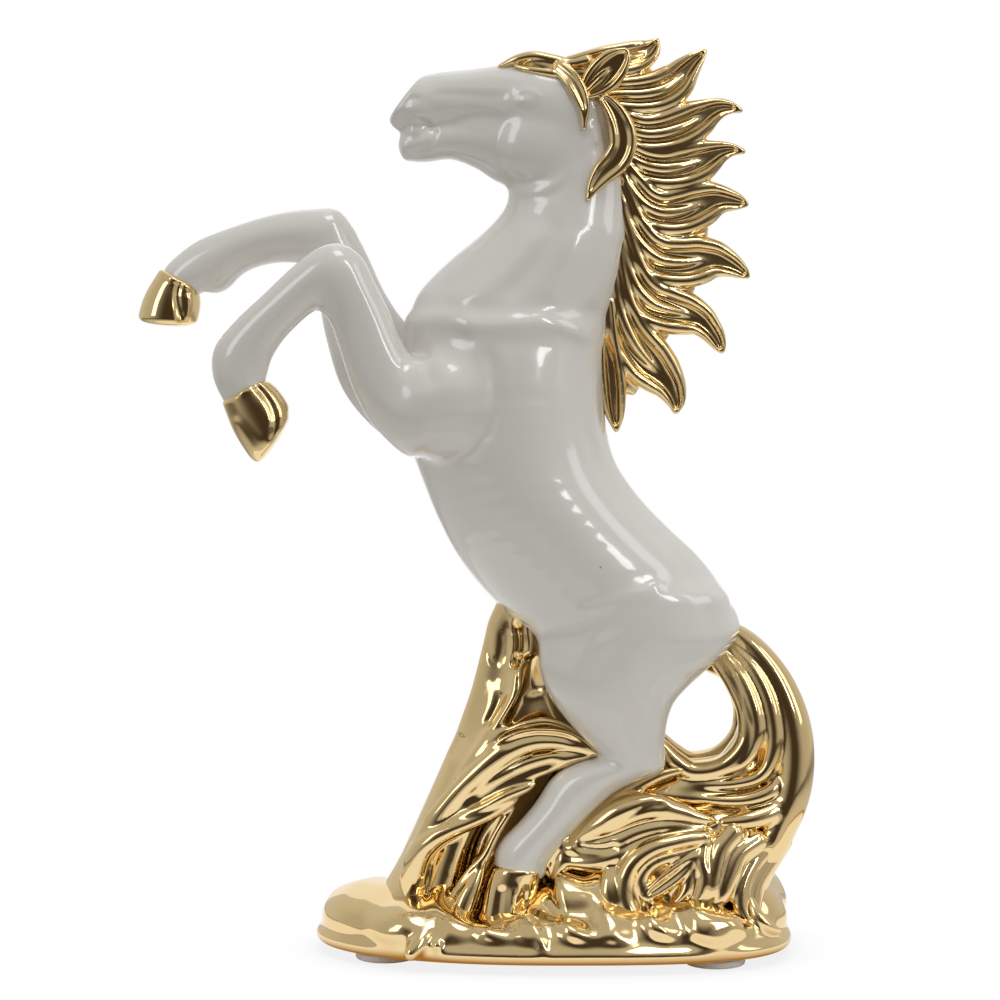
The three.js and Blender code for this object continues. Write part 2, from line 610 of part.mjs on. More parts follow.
// Leaf scrolls between the hind hooves and the tail, over a shared core.
const scrollHalf = SCROLL_WIDTH / 2;
const SCROLL_CORE = [
  [93, 26, 14, 0.75],
  [80, 28, 14, 0.9],
  [66, 24, 13, 1],
  [52, 15, 12, 1],
  [38, 6, 9, 0.9],
];
const SCROLLS = [
  [[90.5, 14, 40.5, 5], [76.5, 16, 42, 5.5], [61, 17, 38, 6], [43.5, 17, 28, 5.5], [33, 17, 17, 4], [27, 17, 7, 2]],
  [[86, 19, 27, 4], [74.5, 20, 30.5, 4.5], [62.5, 21, 30.5, 4.5], [50.5, 21, 23.5, 4], [37, 20, 14, 1.5]],
  [[83, 23, 28.5, 3.5], [65.5, 25, 25, 4], [55.5, 26, 16.5, 4.5], [52, 27, 5.5, 4], [57, 28, -4, 3]],
  [[74, 25, 22.5, 3.5], [64, 27, 19, 3.5], [59, 28, 12, 3.5], [59, 29, 4, 3.5], [66.5, 29, -3, 3]],
  [[79.5, 24, 23.5, 3.5], [79, 27, 14.5, 3.5], [76, 28, 7.5, 3], [69, 28, 2, 2]],
  [[89.5, 21, 30, 4], [86, 24, 19.5, 4], [84, 26, 10, 3.5], [79.5, 27, 3, 2]],
];

function scrollForm(grow = 0) {
  const core = SCROLL_CORE.map(([x, z, deep, share]) => [x, z, deep, share * scrollHalf]);
  const scrolls = SIDES.flatMap(([, side]) => SCROLLS.map((points) => {
    const placed = points.map(([x, out, z, deep]) => [x, out * (SCROLL_WIDTH / 44), z, deep]);
    return strand(placed, side, { grow });
  }));
  return joined(flatLimb(core, 0, { grow }), scrolls);
}

// Bumper pads stuck under the base, turned with a rounded lower edge.
function padGeometry() {
  const radius = PAD_DIAMETER / 2;
  const round = Math.min(PAD_EDGE_ROUND, PAD_THICKNESS / 2);
  const outline = new THREE.Path();
  outline.moveTo(0, 0);
  outline.lineTo(radius - round, 0);
  outline.absarc(radius - round, round, round, -Math.PI / 2, 0, false);
  outline.lineTo(radius, PAD_THICKNESS);
  outline.lineTo(0, PAD_THICKNESS);
  const pad = new THREE.LatheGeometry(outline.getPoints(1), 20);
  pad.rotateX(Math.PI / 2);
  return geometryOf(solidOf(pad));
}

// Assembly

const figurine = new THREE.Group();
const sculpture = new THREE.Group();
sculpture.position.z = PAD_THICKNESS + PAD_ADHESIVE + BASE_HEIGHT;
figurine.add(sculpture);

function place(name, solid, material) {
  const mesh = new THREE.Mesh(geometryOf(casting(solid)), material);
  mesh.name = name;
  sculpture.add(mesh);
}

const torsoTool = torsoForm(SEAM);
const headTool = headForm(SEAM);
const neckTool = neckForm(SEAM);
const baseTool = baseForm(SEAM);
const hindTools = SIDES.flatMap(([, side]) => [hindLegForm(side, SEAM), hindHoofForm(side, SEAM)]);
const horseTools = [torsoTool, neckTool, headTool];
const forelockTool = forelockForm(SEAM);
const maneTool = maneForm(SEAM);
const scrollTool = scrollForm(SEAM);

place('base', hollowBase(), gold);
place('trunk', cut(trunkForm(), baseTool, torsoTool, hindTools), gold);
place('rear_scrolls', cut(scrollForm(), baseTool, torsoTool, hindTools), gold);
place('tail', cut(tailForm(), baseTool, torsoTool, hindTools, scrollTool), gold);

place('torso', torsoForm(), white);
place('neck', cut(neckForm(), torsoTool, headTool), white);
place('head', cut(headForm(), nostrils), white);
for (const [name, side] of SIDES) {
  const foreleg = cut(forelegForm(name, side), torsoTool, neckTool, foreHoofForm(name, side, SEAM));
  place(`${name}_foreleg`, foreleg.intersect(halfSpace(side)), white);
  place(`${name}_fore_hoof`, foreHoofForm(name, side), gold);
  const hindLeg = cut(hindLegForm(side), torsoTool, baseTool, hindHoofForm(side, SEAM));
  place(`${name}_hind_leg`, hindLeg.intersect(halfSpace(side)), white);
  place(`${name}_hind_hoof`, cut(hindHoofForm(side), baseTool).intersect(halfSpace(side)), gold);
}

place('forelock', cut(forelockForm(), headTool, neckTool), gold);
place('mane', cut(maneForm(), horseTools, forelockTool), gold);
for (const [name, side] of SIDES) {
  place(`${name}_ear`, cut(earForm(side), headTool, neckTool, forelockTool, maneTool), gold);
  const earTool = earForm(side, SEAM);
  place(`${name}_cheek_lock`, cut(cheekLockForm(side), horseTools, forelockTool, maneTool, earTool), gold);
}

const PAD_PLACES = [
  ['front', BASE_CENTRE_X - BASE_LENGTH / 2 + PAD_FRONT_INSET, PAD_FRONT_SPREAD],
  ['rear', BASE_CENTRE_X + BASE_LENGTH / 2 - PAD_REAR_INSET, PAD_REAR_SPREAD],
];
for (const [end, x, spread] of PAD_PLACES) {
  for (const [name, side] of SIDES) {
    const pad = new THREE.Mesh(padGeometry(), rubber);
    pad.name = `${end}_${name}_pad`;
    pad.position.set(x, side * spread, 0);
    figurine.add(pad);
  }
}

export default figurine;
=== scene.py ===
"""Looks of a rearing horse ornament in slip-cast ceramic, white glazed and gilded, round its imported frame.

Every form is first worked out as a closed skin: an oval carried along a path, or an oval between the front and
back lines of a profile. The skins are then built up on a block of voxels as wet clay is, each blended into the
rest over a radius, and the surface of the block is drawn off as one smooth closed mesh. That rounds every join as
glaze does, which separate skins can't.

Tables are in millimetres above the ground that the hooves stand on. The horse faces -X and its left is -Y.
"""
import logging
import math
from dataclasses import dataclass
from enum import Enum
from typing import Callable, Iterable, Optional, Sequence

import bpy
import numpy as np
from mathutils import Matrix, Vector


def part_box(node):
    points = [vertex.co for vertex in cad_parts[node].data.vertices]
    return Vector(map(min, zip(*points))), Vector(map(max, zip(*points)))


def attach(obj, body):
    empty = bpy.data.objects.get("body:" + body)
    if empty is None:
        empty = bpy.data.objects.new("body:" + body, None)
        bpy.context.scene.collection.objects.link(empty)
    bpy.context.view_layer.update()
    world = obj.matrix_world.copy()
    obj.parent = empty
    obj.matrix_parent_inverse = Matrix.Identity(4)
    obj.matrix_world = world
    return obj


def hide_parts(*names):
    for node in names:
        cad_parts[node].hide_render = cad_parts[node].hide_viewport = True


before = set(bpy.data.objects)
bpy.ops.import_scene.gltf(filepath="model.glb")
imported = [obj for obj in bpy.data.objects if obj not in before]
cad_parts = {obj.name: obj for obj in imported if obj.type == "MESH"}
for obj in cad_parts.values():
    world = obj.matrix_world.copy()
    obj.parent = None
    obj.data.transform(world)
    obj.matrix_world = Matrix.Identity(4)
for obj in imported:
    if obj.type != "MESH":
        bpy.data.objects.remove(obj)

import openvdb as vdb
from mathutils import Vector

LOG = logging.getLogger("horse")
MM = 0.001
PAD_AND_BASE = 16.8  # mm from the shelf to the ground under the hooves: the pads, their glue and the base
BODY = "root"
ACROSS = np.array([0.0, 1.0, 0.0])  # across the horse, towards its right
DOME_ANGLES = (80, 66, 52, 38, 25, 12)  # degrees from the rim of a dome's rings, from the pole down
FLAT_ANGLES = (84, 60, 30)  # the same for a dome that is nearly flat
NEARLY_FLAT = 0.05  # the dome height under which a dome is nearly flat
EGG_END = 0.985  # the share of an egg's half length at which its last ring lies
GROOVE_REACH = 2.6  # how many widths from its line a groove is worked out
GROOVE_ENDS = 6  # a groove fades in and out over one part in this many of its line
FAIRING = (0.5, -0.53)  # the step to the mean of a point's neighbours in a round of fairing, and the step back
MOST_MOVE = 0.6  # the most voxels that a point moves when it is seated on the surface

Rows = Sequence[Sequence[float]]
Line = tuple[Rows, float, float]  # a line of x and z, with the depth and width of the groove along it


class Side(Enum):
    """A side of the horse, by the sign of y."""

    LEFT = -1
    RIGHT = 1
    BOTH = 0


BOTH_SIDES = (Side.LEFT, Side.RIGHT)


# Skins


@dataclass(frozen=True)
class Skin:
    """A closed skin in millimetres: its points and its four-sided and three-sided faces."""

    points: np.ndarray
    quads: np.ndarray
    tris: np.ndarray


@dataclass(frozen=True)
class Rail:
    """Oval rings in order: centres, unit directions along, through and across, and half depths and widths."""

    centre: np.ndarray
    along: np.ndarray
    through: np.ndarray
    across: np.ndarray
    deep: np.ndarray
    wide: np.ndarray


def unit(vectors: np.ndarray) -> np.ndarray:
    """Each vector divided by its length."""
    return vectors / np.maximum(np.linalg.norm(vectors, axis=-1, keepdims=True), 1e-9)


def spline(knots: Rows, steps: int) -> np.ndarray:
    """A smooth curve through knots of any number of columns.

    On each span the point is half of 2b + (c - a)u + (2a - 5b + 4c - d)u^2 + (3b - 3c + d - a)u^3, for the
    four knots a, b, c and d round the span and u from 0 to 1, so its slope at a knot is that of the line
    between the knot's neighbours.

    Args:
        knots: the knots in order.
        steps: how many steps each span takes.

    Returns:
        The points, steps times the spans plus 1 of them.
    """
    k = np.asarray(knots, float)
    k = np.vstack([2 * k[0] - k[1], k, 2 * k[-1] - k[-2]])
    t = np.arange((len(k) - 3) * steps + 1) / steps
    i = np.minimum(t.astype(int), len(k) - 4)
    u = (t - i)[:, None]
    a, b, c, d = k[i], k[i + 1], k[i + 2], k[i + 3]
    return 0.5 * (2 * b + (c - a) * u + (2 * a - 5 * b + 4 * c - d) * u**2 + (3 * b - 3 * c + d - a) * u**3)


def path_rail(sections: Rows, steps: int = 12) -> Rail:
    """A rail square to a smooth path, with its width across the horse as far as the path lets it.

    Args:
        sections: rows of x, y, z, half depth and half width.
        steps: rings for each span.

    Returns:
        The rail. Across is +Y less its share along the path, and through is across times along.
    """
    rows = spline(sections, steps)
    along = unit(np.gradient(rows[:, :3], axis=0))
    across = unit(ACROSS - along * (along @ ACROSS)[:, None])
    return Rail(rows[:, :3], along, np.cross(across, along), across, rows[:, 3], rows[:, 4])


def profile_rail(sections: Rows, steps: int = 12, side: Side = Side.RIGHT) -> Rail:
    """A rail between the front and back lines of a profile, from the top down.

    Args:
        sections: rows of front x, front z, back x, back z and half width, and then the middle's distance from the
            middle plane where it isn't 0.
        steps: rings for each span.
        side: the side that the distance is on.

    Returns:
        The rail. Through points from back to front, and the half depth is half of the way between them.
    """
    rows = spline(sections, steps)
    out = side.value * rows[:, 5] if rows.shape[1] > 5 else np.zeros(len(rows))
    front = np.stack([rows[:, 0], out, rows[:, 1]], 1)
    back = np.stack([rows[:, 2], out, rows[:, 3]], 1)
    through = unit(front - back)
    across = np.tile(ACROSS, (len(rows), 1))
    deep = np.linalg.norm(front - back, axis=1) / 2
    return Rail((front + back) / 2, np.cross(through, across), through, across, deep, rows[:, 4])


def shifted(rail: Rail, y: float) -> Rail:
    """The rail moved along y."""
    return Rail(rail.centre + [0, y, 0], rail.along, rail.through, rail.across, rail.deep, rail.wide)


def ring_faces(rings: int, sides: int) -> tuple[np.ndarray, np.ndarray]:
    """The faces over rings in order, closed by two poles whose points come after those of the last ring.

    Args:
        rings: the count of rings.
        sides: the points round a ring.

    Returns:
        The four-sided and the three-sided faces.
    """
    j = np.arange(sides)
    k = (j + 1) % sides
    i = np.arange(rings - 1)[:, None] * sides
    quads = np.stack([i + j, i + k, i + sides + k, i + sides + j], -1).reshape(-1, 4)
    end = (rings - 1) * sides
    tris = np.concatenate([np.stack([np.full(sides, end + sides), k, j], 1),
                           np.stack([np.full(sides, end + sides + 1), end + j, end + k], 1)])
    return quads, tris


def skin(rail: Rail, sides: int = 40, dome: float = 0.6, fullness: float = 2.0) -> Skin:
    """The closed skin of a rail with a dome at each end.

    A ring's point at angle a is centre + through * deep * c + across * wide * s, where c and s are the cosine
    and sine of a, each to the power 2 / fullness with its sign kept. A dome ring at angle b is the end ring times
    cos b, pushed out by sin b times dome times the end's mean radius.

    Args:
        rail: the rings.
        sides: points round a ring.
        dome: a dome's height as a share of the end's mean radius.
        fullness: 2 for an oval, and more for a squarer section.

    Returns:
        The skin.
    """
    lift = np.radians(DOME_ANGLES if dome > NEARLY_FLAT else FLAT_ANGLES)
    first = [np.zeros(len(lift), int), -lift]
    last = [np.full(len(lift), len(rail.deep) - 1), lift[::-1]]
    ring = np.concatenate([first[0], np.arange(len(rail.deep)), last[0]])
    tilt = np.concatenate([first[1], np.zeros(len(rail.deep)), last[1]])
    radius = (rail.deep + rail.wide) / 2
    centre = rail.centre[ring] + rail.along[ring] * (np.sin(tilt) * dome * radius[ring])[:, None]
    turn = np.linspace(0, 2 * np.pi, sides, endpoint=False)
    power = 2 / fullness
    c = np.sign(np.cos(turn)) * np.abs(np.cos(turn)) ** power
    s = np.sign(np.sin(turn)) * np.abs(np.sin(turn)) ** power
    deep = (rail.deep[ring] * np.cos(tilt))[:, None, None]
    wide = (rail.wide[ring] * np.cos(tilt))[:, None, None]
    points = (centre[:, None] + rail.through[ring][:, None] * deep * c[None, :, None]
              + rail.across[ring][:, None] * wide * s[None, :, None])
    poles = np.stack([rail.centre[0] - rail.along[0] * dome * radius[0],
                      rail.centre[-1] + rail.along[-1] * dome * radius[-1]])
    return Skin(np.concatenate([points.reshape(-1, 3), poles]), *ring_faces(len(ring), sides))


def limb(sections: Rows, **options: float) -> Skin:
    """The skin along a path in the middle plane, from rows of x, z, half depth and half width."""
    return skin(path_rail([(x, 0.0, z, deep, wide) for x, z, deep, wide in sections]), **options)


def egg(centre: Sequence[float], size: Sequence[float], tilt: float = 0.0) -> Skin:
    """An egg: at the share s of its half length, its ring is its middle ring times the root of 1 - s^2.

    Args:
        centre: its middle.
        size: its half length, half width and half height.
        tilt: the degrees that its length rises from +X towards +Z.

    Returns:
        The skin.
    """
    lean = math.radians(tilt)
    along = np.array([math.cos(lean), 0, math.sin(lean)])
    share = np.linspace(-EGG_END, EGG_END, 25)
    round_off = np.sqrt(1 - share**2)
    count = len(share)
    rail = Rail(np.array(centre, float) + along * (share * size[0])[:, None], np.tile(along, (count, 1)),
                np.tile(np.cross(ACROSS, along), (count, 1)), np.tile(ACROSS, (count, 1)),
                size[2] * round_off, size[1] * round_off)
    return skin(rail, dome=0.02)


# Clay


@dataclass(frozen=True)
class Lens:
    """A space in which the part above a height is enlarged, so that one voxel there is a finer step.

    The scale goes from 1 at low to scale at high by a smooth step, heights grow by its running sum, and x and y
    grow by it from a centre line.
    """

    low: float
    high: float
    scale: float
    centre_x: float

    def tables(self, bottom: float = -200.0, top: float = 600.0, step: float = 0.25) -> tuple[np.ndarray, ...]:
        """The lens worked out at even steps of height.

        Args:
            bottom: the lowest height.
            top: the highest.
            step: the step between heights.

        Returns:
            Heights, the scale at each and the enlarged height of each.
        """
        z = np.arange(bottom, top, step)
        u = np.clip((z - self.low) / (self.high - self.low), 0, 1)
        scale = 1 + (self.scale - 1) * u * u * (3 - 2 * u)
        return z, scale, z[0] + np.concatenate([[0], np.cumsum((scale[1:] + scale[:-1]) / 2 * step)])

    def enlarge(self, points: np.ndarray) -> np.ndarray:
        """Carries points into the enlarged space.

        Args:
            points: the points at real size.

        Returns:
            The enlarged points.
        """
        z, scale, tall = self.tables()
        s = np.interp(points[:, 2], z, scale)
        return np.stack([self.centre_x + (points[:, 0] - self.centre_x) * s, points[:, 1] * s,
                         np.interp(points[:, 2], z, tall)], 1)

    def restore(self, points: np.ndarray) -> np.ndarray:
        """Carries points back to real size.

        Args:
            points: the enlarged points.

        Returns:
            The points at real size.
        """
        z, scale, tall = self.tables()
        height = np.interp(points[:, 2], tall, z)
        s = np.interp(height, z, scale)
        return np.stack([self.centre_x + (points[:, 0] - self.centre_x) / s, points[:, 1] / s, height], 1)


def smooth_min(a: np.ndarray, b: np.ndarray, blend: float) -> np.ndarray:
    """The lower of two distances, rounded where they meet: min(a, b) - h^2 blend / 4, h = max(1 - |a-b|/blend, 0).

    Args:
        a: the distance to one body.
        b: the distance to the other.
        blend: the difference up to which they are rounded together.

    Returns:
        The distance to both bodies joined.
    """
    if blend <= 0:
        return np.minimum(a, b)
    return np.minimum(a, b) - np.maximum(1 - np.abs(a - b) / blend, 0) ** 2 * (blend / 4)


def spline_field(field: np.ndarray, at: np.ndarray) -> tuple[np.ndarray, np.ndarray]:
    """A block's value and slope between its voxels, by the uniform cubic B-spline.

    Along each axis the four voxels round a place, u past the second, weigh (1 - u)^3, 3u^3 - 6u^2 + 4,
    -3u^3 + 3u^2 + 3u + 1 and u^3, all over 6, so that both value and slope are smooth.

    Args:
        field: the block's values.
        at: places counted in voxels.

    Returns:
        The value and the slope at each place.
    """
    size = np.array(field.shape)
    at = np.clip(at, 1.0, size - 2.001)
    base = np.floor(at).astype(np.int64)
    u = (at - base).T
    w = np.stack([(1 - u) ** 3, 3 * u**3 - 6 * u**2 + 4, -3 * u**3 + 3 * u**2 + 3 * u + 1, u**3]) / 6
    d = np.stack([-(1 - u) ** 2, 3 * u**2 - 4 * u, -3 * u**2 + 2 * u + 1, u**2]) / 2
    flat = field.ravel()
    value, slope = np.zeros(len(at)), np.zeros((len(at), 3))
    for i in range(4):
        for j in range(4):
            row = ((base[:, 0] + i - 1) * size[1] + base[:, 1] + j - 1) * size[2] + base[:, 2] - 1
            taps = flat[row[None] + np.arange(4)[:, None]]
            level, rise = (taps * w[:, 2]).sum(0), (taps * d[:, 2]).sum(0)
            value += w[i, 0] * w[j, 1] * level
            slope[:, 0] += d[i, 0] * w[j, 1] * level
            slope[:, 1] += w[i, 0] * d[j, 1] * level
            slope[:, 2] += w[i, 0] * w[j, 1] * rise
    return value, slope


class Clay:
    """Clay on a block of voxels: the distance to its surface in millimetres, below zero inside."""

    def __init__(self, low: Sequence[float], high: Sequence[float], voxel: float, reach: float = 5.0,
                 lens: Optional[Lens] = None) -> None:
        """An empty block.

        Args:
            low: the block's lowest corner.
            high: its highest corner.
            voxel: the step between voxels.
            reach: how far from a surface its distance is kept, which is the widest blend.
            lens: the space in which the block is worked, if it isn't plain.
        """
        corners = np.array([low, high], float)
        if lens:
            corners = lens.enlarge(np.array([[x, y, z] for x in corners[:, 0] for y in corners[:, 1]
                                             for z in corners[:, 2]]))
        self.voxel, self.reach, self.lens = voxel, reach, lens
        self.start = np.floor(corners.min(0) / voxel).astype(int)
        self.shape = np.ceil(corners.max(0) / voxel).astype(int) - self.start + 1
        self.field = np.full(self.shape, reach, np.float32)

    def _distance(self, body: Skin) -> Optional[tuple[tuple[slice, ...], np.ndarray]]:
        """The distance to a skin, near it.

        Args:
            body: the skin.

        Returns:
            The part of the block that the skin reaches and the distances there, or None if it reaches no part.
        """
        points = self.lens.enlarge(body.points) if self.lens else body.points
        grid = vdb.FloatGrid.createLevelSetFromPolygons(
            points.astype(np.float32), triangles=body.tris.astype(np.uint32), quads=body.quads.astype(np.uint32),
            transform=vdb.createLinearTransform(voxelSize=self.voxel), halfWidth=self.reach / self.voxel)
        low, high = (np.array(corner) for corner in grid.evalActiveVoxelBoundingBox())
        low = np.maximum(low, self.start)
        high = np.minimum(high, self.start + self.shape - 1)
        if (high < low).any():
            return None
        values = np.zeros(high - low + 1, np.float32)
        grid.copyToArray(values, ijk=tuple(int(v) for v in low))
        return tuple(slice(a, b) for a, b in zip(low - self.start, high - self.start + 1)), values

    def add(self, body: Skin, blend: float = 1.0) -> None:
        """Adds a skin's body, rounded into what is there.

        Args:
            body: the skin.
            blend: how widely the join is rounded.
        """
        found = self._distance(body)
        if found:
            part, values = found
            self.field[part] = smooth_min(self.field[part], values, blend)

    def cut(self, body: Skin, blend: float = 0.5) -> None:
        """Takes a skin's body away.

        Args:
            body: the skin.
            blend: how widely the edge is rounded.
        """
        found = self._distance(body)
        if found:
            part, values = found
            self.field[part] = -smooth_min(-self.field[part], values, blend)

    def places(self) -> tuple[np.ndarray, np.ndarray, np.ndarray, np.ndarray]:
        """The real places of the block's voxels.

        Returns:
            The x and the z of each place on the profile, the y of each place across it by height, and the scale at
            each height.
        """
        x, y, z = (np.arange(n) * self.voxel + s * self.voxel for n, s in zip(self.shape, self.start))
        if not self.lens:
            return x[:, None] + 0 * z[None], z[None] + 0 * x[:, None], y[:, None] + 0 * z[None], np.ones(len(z))
        heights, scales, tall = self.lens.tables()
        real = np.interp(z, tall, heights)
        s = np.interp(real, heights, scales)
        flat = self.lens.centre_x + (x[:, None] - self.lens.centre_x) / s[None]
        return flat, real[None] + 0 * flat, y[:, None] / s[None], s

    def relief(self, path: Rows, depth: float, width: float, side: Side = Side.BOTH, inner: float = 6.0) -> None:
        """Sinks a groove, or raises a ridge where depth is below zero, along a line drawn on the side.

        The surface moves by depth * exp(-(d / width)^2), where d is the distance in profile from a smooth line
        through the points. It fades to nothing at the line's ends and inside inner of the middle plane.

        Args:
            path: rows of x and z.
            depth: how far the surface goes in at the line.
            width: how far from the line the groove falls to about a third.
            side: the side that it is on.
            inner: the distance from the middle plane over which it fades in.
        """
        line = spline(path, 10)
        x, z, y, scale = self.places()
        margin = GROOVE_REACH * width
        near = ((x > line[:, 0].min() - margin) & (x < line[:, 0].max() + margin)
                & (z > line[:, 1].min() - margin) & (z < line[:, 1].max() + margin))
        rows, columns = np.nonzero(near.any(1))[0], np.nonzero(near.any(0))[0]
        if not len(rows) or not len(columns):
            return
        r, c = slice(rows[0], rows[-1] + 1), slice(columns[0], columns[-1] + 1)
        gap = np.full(x[r, c].shape, 1e9)
        share = np.zeros_like(gap)
        for i, (px, pz) in enumerate(line):
            d = (x[r, c] - px) ** 2 + (z[r, c] - pz) ** 2
            closer = d < gap
            gap = np.where(closer, d, gap)
            share = np.where(closer, i / (len(line) - 1), share)
        ends = np.clip(np.minimum(share, 1 - share) * GROOVE_ENDS, 0, 1)
        height = depth * np.exp(-gap / width**2) * ends * ends * (3 - 2 * ends)
        out = np.abs(y[:, c]) if side is Side.BOTH else y[:, c] * side.value
        fade = np.clip(out / inner, 0, 1)
        fade = fade * fade * (3 - 2 * fade)
        self.field[r, :, c] += (height[:, None] * fade[None] * scale[None, None, c]).astype(np.float32)

    def ripple(self, amount: Callable[[np.ndarray, np.ndarray, np.ndarray], np.ndarray]) -> None:
        """Moves the surface in.

        Args:
            amount: how far, as a function of x, y and z over the block.
        """
        x, y, z = (np.arange(n) * self.voxel + s * self.voxel for n, s in zip(self.shape, self.start))
        self.field += amount(x[:, None, None], y[None, :, None], z[None, None, :]).astype(np.float32)

    def level(self, height: float) -> None:
        """Cuts off flat what is below a height, where no distance may be less than the height less z."""
        z = (np.arange(self.shape[2]) + self.start[2]) * self.voxel
        self.field = np.maximum(self.field, (height - z)[None, None].astype(np.float32))

    def soften(self, passes: int) -> None:
        """Rounds every edge: a pass weighs each voxel 2 and its two neighbours 1 along each axis in turn.

        Args:
            passes: the count of passes.
        """
        for _ in range(passes):
            for axis in range(3):
                f = np.moveaxis(self.field, axis, 0)
                f[1:-1] = (f[:-2] + 2 * f[1:-1] + f[2:]) / 4

    def surface(self, fair: int = 6) -> tuple[np.ndarray, np.ndarray]:
        """The surface as points and four-sided faces that point out.

        Args:
            fair: rounds of fairing, which space the points evenly. Steps down the slope of the block's cubic
                B-spline then seat them.

        Returns:
            The points in millimetres and the faces.
        """
        grid = vdb.FloatGrid(self.reach)
        grid.transform = vdb.createLinearTransform(voxelSize=self.voxel)
        grid.gridClass = vdb.GridClass.LEVEL_SET
        grid.copyFromArray(self.field, ijk=tuple(int(v) for v in self.start))
        points, faces = grid.convertToQuads(isovalue=0)
        points, faces = points.astype(float), faces.astype(np.int64)
        ends = np.concatenate([faces[:, [i, (i + 1) % 4]] for i in range(4)])
        ends = np.concatenate([ends, ends[:, ::-1]])
        count = np.maximum(np.bincount(ends[:, 0], minlength=len(points)), 1)
        for rounds in (fair, 1, 0):
            for step in FAIRING * rounds:
                mean = np.stack([np.bincount(ends[:, 0], points[ends[:, 1], i], len(points)) for i in range(3)], 1)
                points = points + step * (mean / count[:, None] - points)
            value, slope = spline_field(self.field, points / self.voxel - self.start)
            move = value[:, None] * slope / np.maximum((slope**2).sum(1), 1e-4)[:, None]
            points = points - np.clip(move, -MOST_MOVE, MOST_MOVE) * self.voxel
        if self.lens:
            points = self.lens.restore(points)
        a, b, c, d = (points[faces[:, i]] for i in range(4))
        volume = np.einsum("ij,ij->i", a + b + c + d, np.cross(c - a, d - b)).sum()
        return points, faces if volume > 0 else faces[:, ::-1]


@dataclass(frozen=True)
class Lump:
    """An egg of clay: its middle, with y counted out from the middle plane, its half sizes, blend and tilt."""

    centre: Sequence[float]
    size: Sequence[float]
    blend: float
    tilt: float = 0.0

    def add_to(self, clay: Clay, side: Side) -> None:
        """Adds the lump on a side, or on the middle plane for both."""
        clay.add(egg((self.centre[0], side.value * self.centre[1], self.centre[2]), self.size, self.tilt), self.blend)


def as_seen(points: np.ndarray, middle: Sequence[float] = (8.75, 141.7), bend: float = 7.13e-5) -> np.ndarray:
    """Points measured on a flat grid, carried to where the camera sees them.

    The camera looks down a little, so what is high stands nearer to it. A point at height h over the middle goes
    down by bend h^2, and towards the middle's x by bend h times its distance.

    Args:
        points: the points in millimetres.
        middle: the x and z at the middle of the view.
        bend: the sine of the camera's rise over its distance in millimetres.

    Returns:
        The points, those below the middle unchanged.
    """
    high = np.maximum(points[:, 2] - middle[1], 0)
    away = points[:, 0] - middle[0]
    return points - bend * np.stack([high * away, 0 * high, high**2], 1)


def make_piece(name: str, points: np.ndarray, faces: np.ndarray, material: bpy.types.Material,
               nodes: Iterable[str]) -> bpy.types.Object:
    """A finished piece that rides on the figurine and stands for its frame nodes.

    Args:
        name: the piece's name.
        points: its points in millimetres above the ground.
        faces: its four-sided faces.
        material: its finish.
        nodes: the nodes that it stands for.

    Returns:
        The object.
    """
    mesh = bpy.data.meshes.new(name)
    mesh.vertices.add(len(points))
    mesh.vertices.foreach_set("co", ((points + [0, 0, PAD_AND_BASE]) * MM).astype(np.float32).ravel())
    mesh.loops.add(faces.size)
    mesh.loops.foreach_set("vertex_index", faces.astype(np.int32).ravel())
    mesh.polygons.add(len(faces))
    mesh.polygons.foreach_set("loop_start", np.arange(0, faces.size, 4, dtype=np.int32))
    mesh.polygons.foreach_set("use_smooth", np.ones(len(faces), bool))
    mesh.update(calc_edges=True)
    mesh.validate()
    mesh.materials.append(material)
    piece = bpy.data.objects.new(name, mesh)
    bpy.context.scene.collection.objects.link(piece)
    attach(piece, BODY)
    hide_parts(*nodes)
    LOG.info("%s: %d points, %d triangles", name, len(points), 2 * len(faces))
    return piece


# Finishes


def linear(code: str) -> tuple[float, float, float, float]:
    """An sRGB hex colour as linear red, green, blue and 1."""
    values = [int(code[i:i + 2], 16) / 255 for i in (1, 3, 5)]
    return (*(v / 12.92 if v <= 0.04045 else ((v + 0.055) / 1.055) ** 2.4 for v in values), 1.0)


def add_node(tree: bpy.types.NodeTree, kind: str, links: Optional[dict] = None, inputs: Optional[dict] = None,
             **settings: object) -> bpy.types.Node:
    """Adds a node.

    Args:
        tree: the material's or world's node tree.
        kind: the node's type.
        links: an output socket for each input that has one.
        inputs: a value for each input that has one.
        settings: the node's own settings.

    Returns:
        The node.
    """
    node = tree.nodes.new(kind)
    for key, value in settings.items():
        setattr(node, key, value)
    for key, value in (inputs or {}).items():
        node.inputs[key].default_value = value
    for key, socket in (links or {}).items():
        tree.links.new(socket, node.inputs[key])
    return node


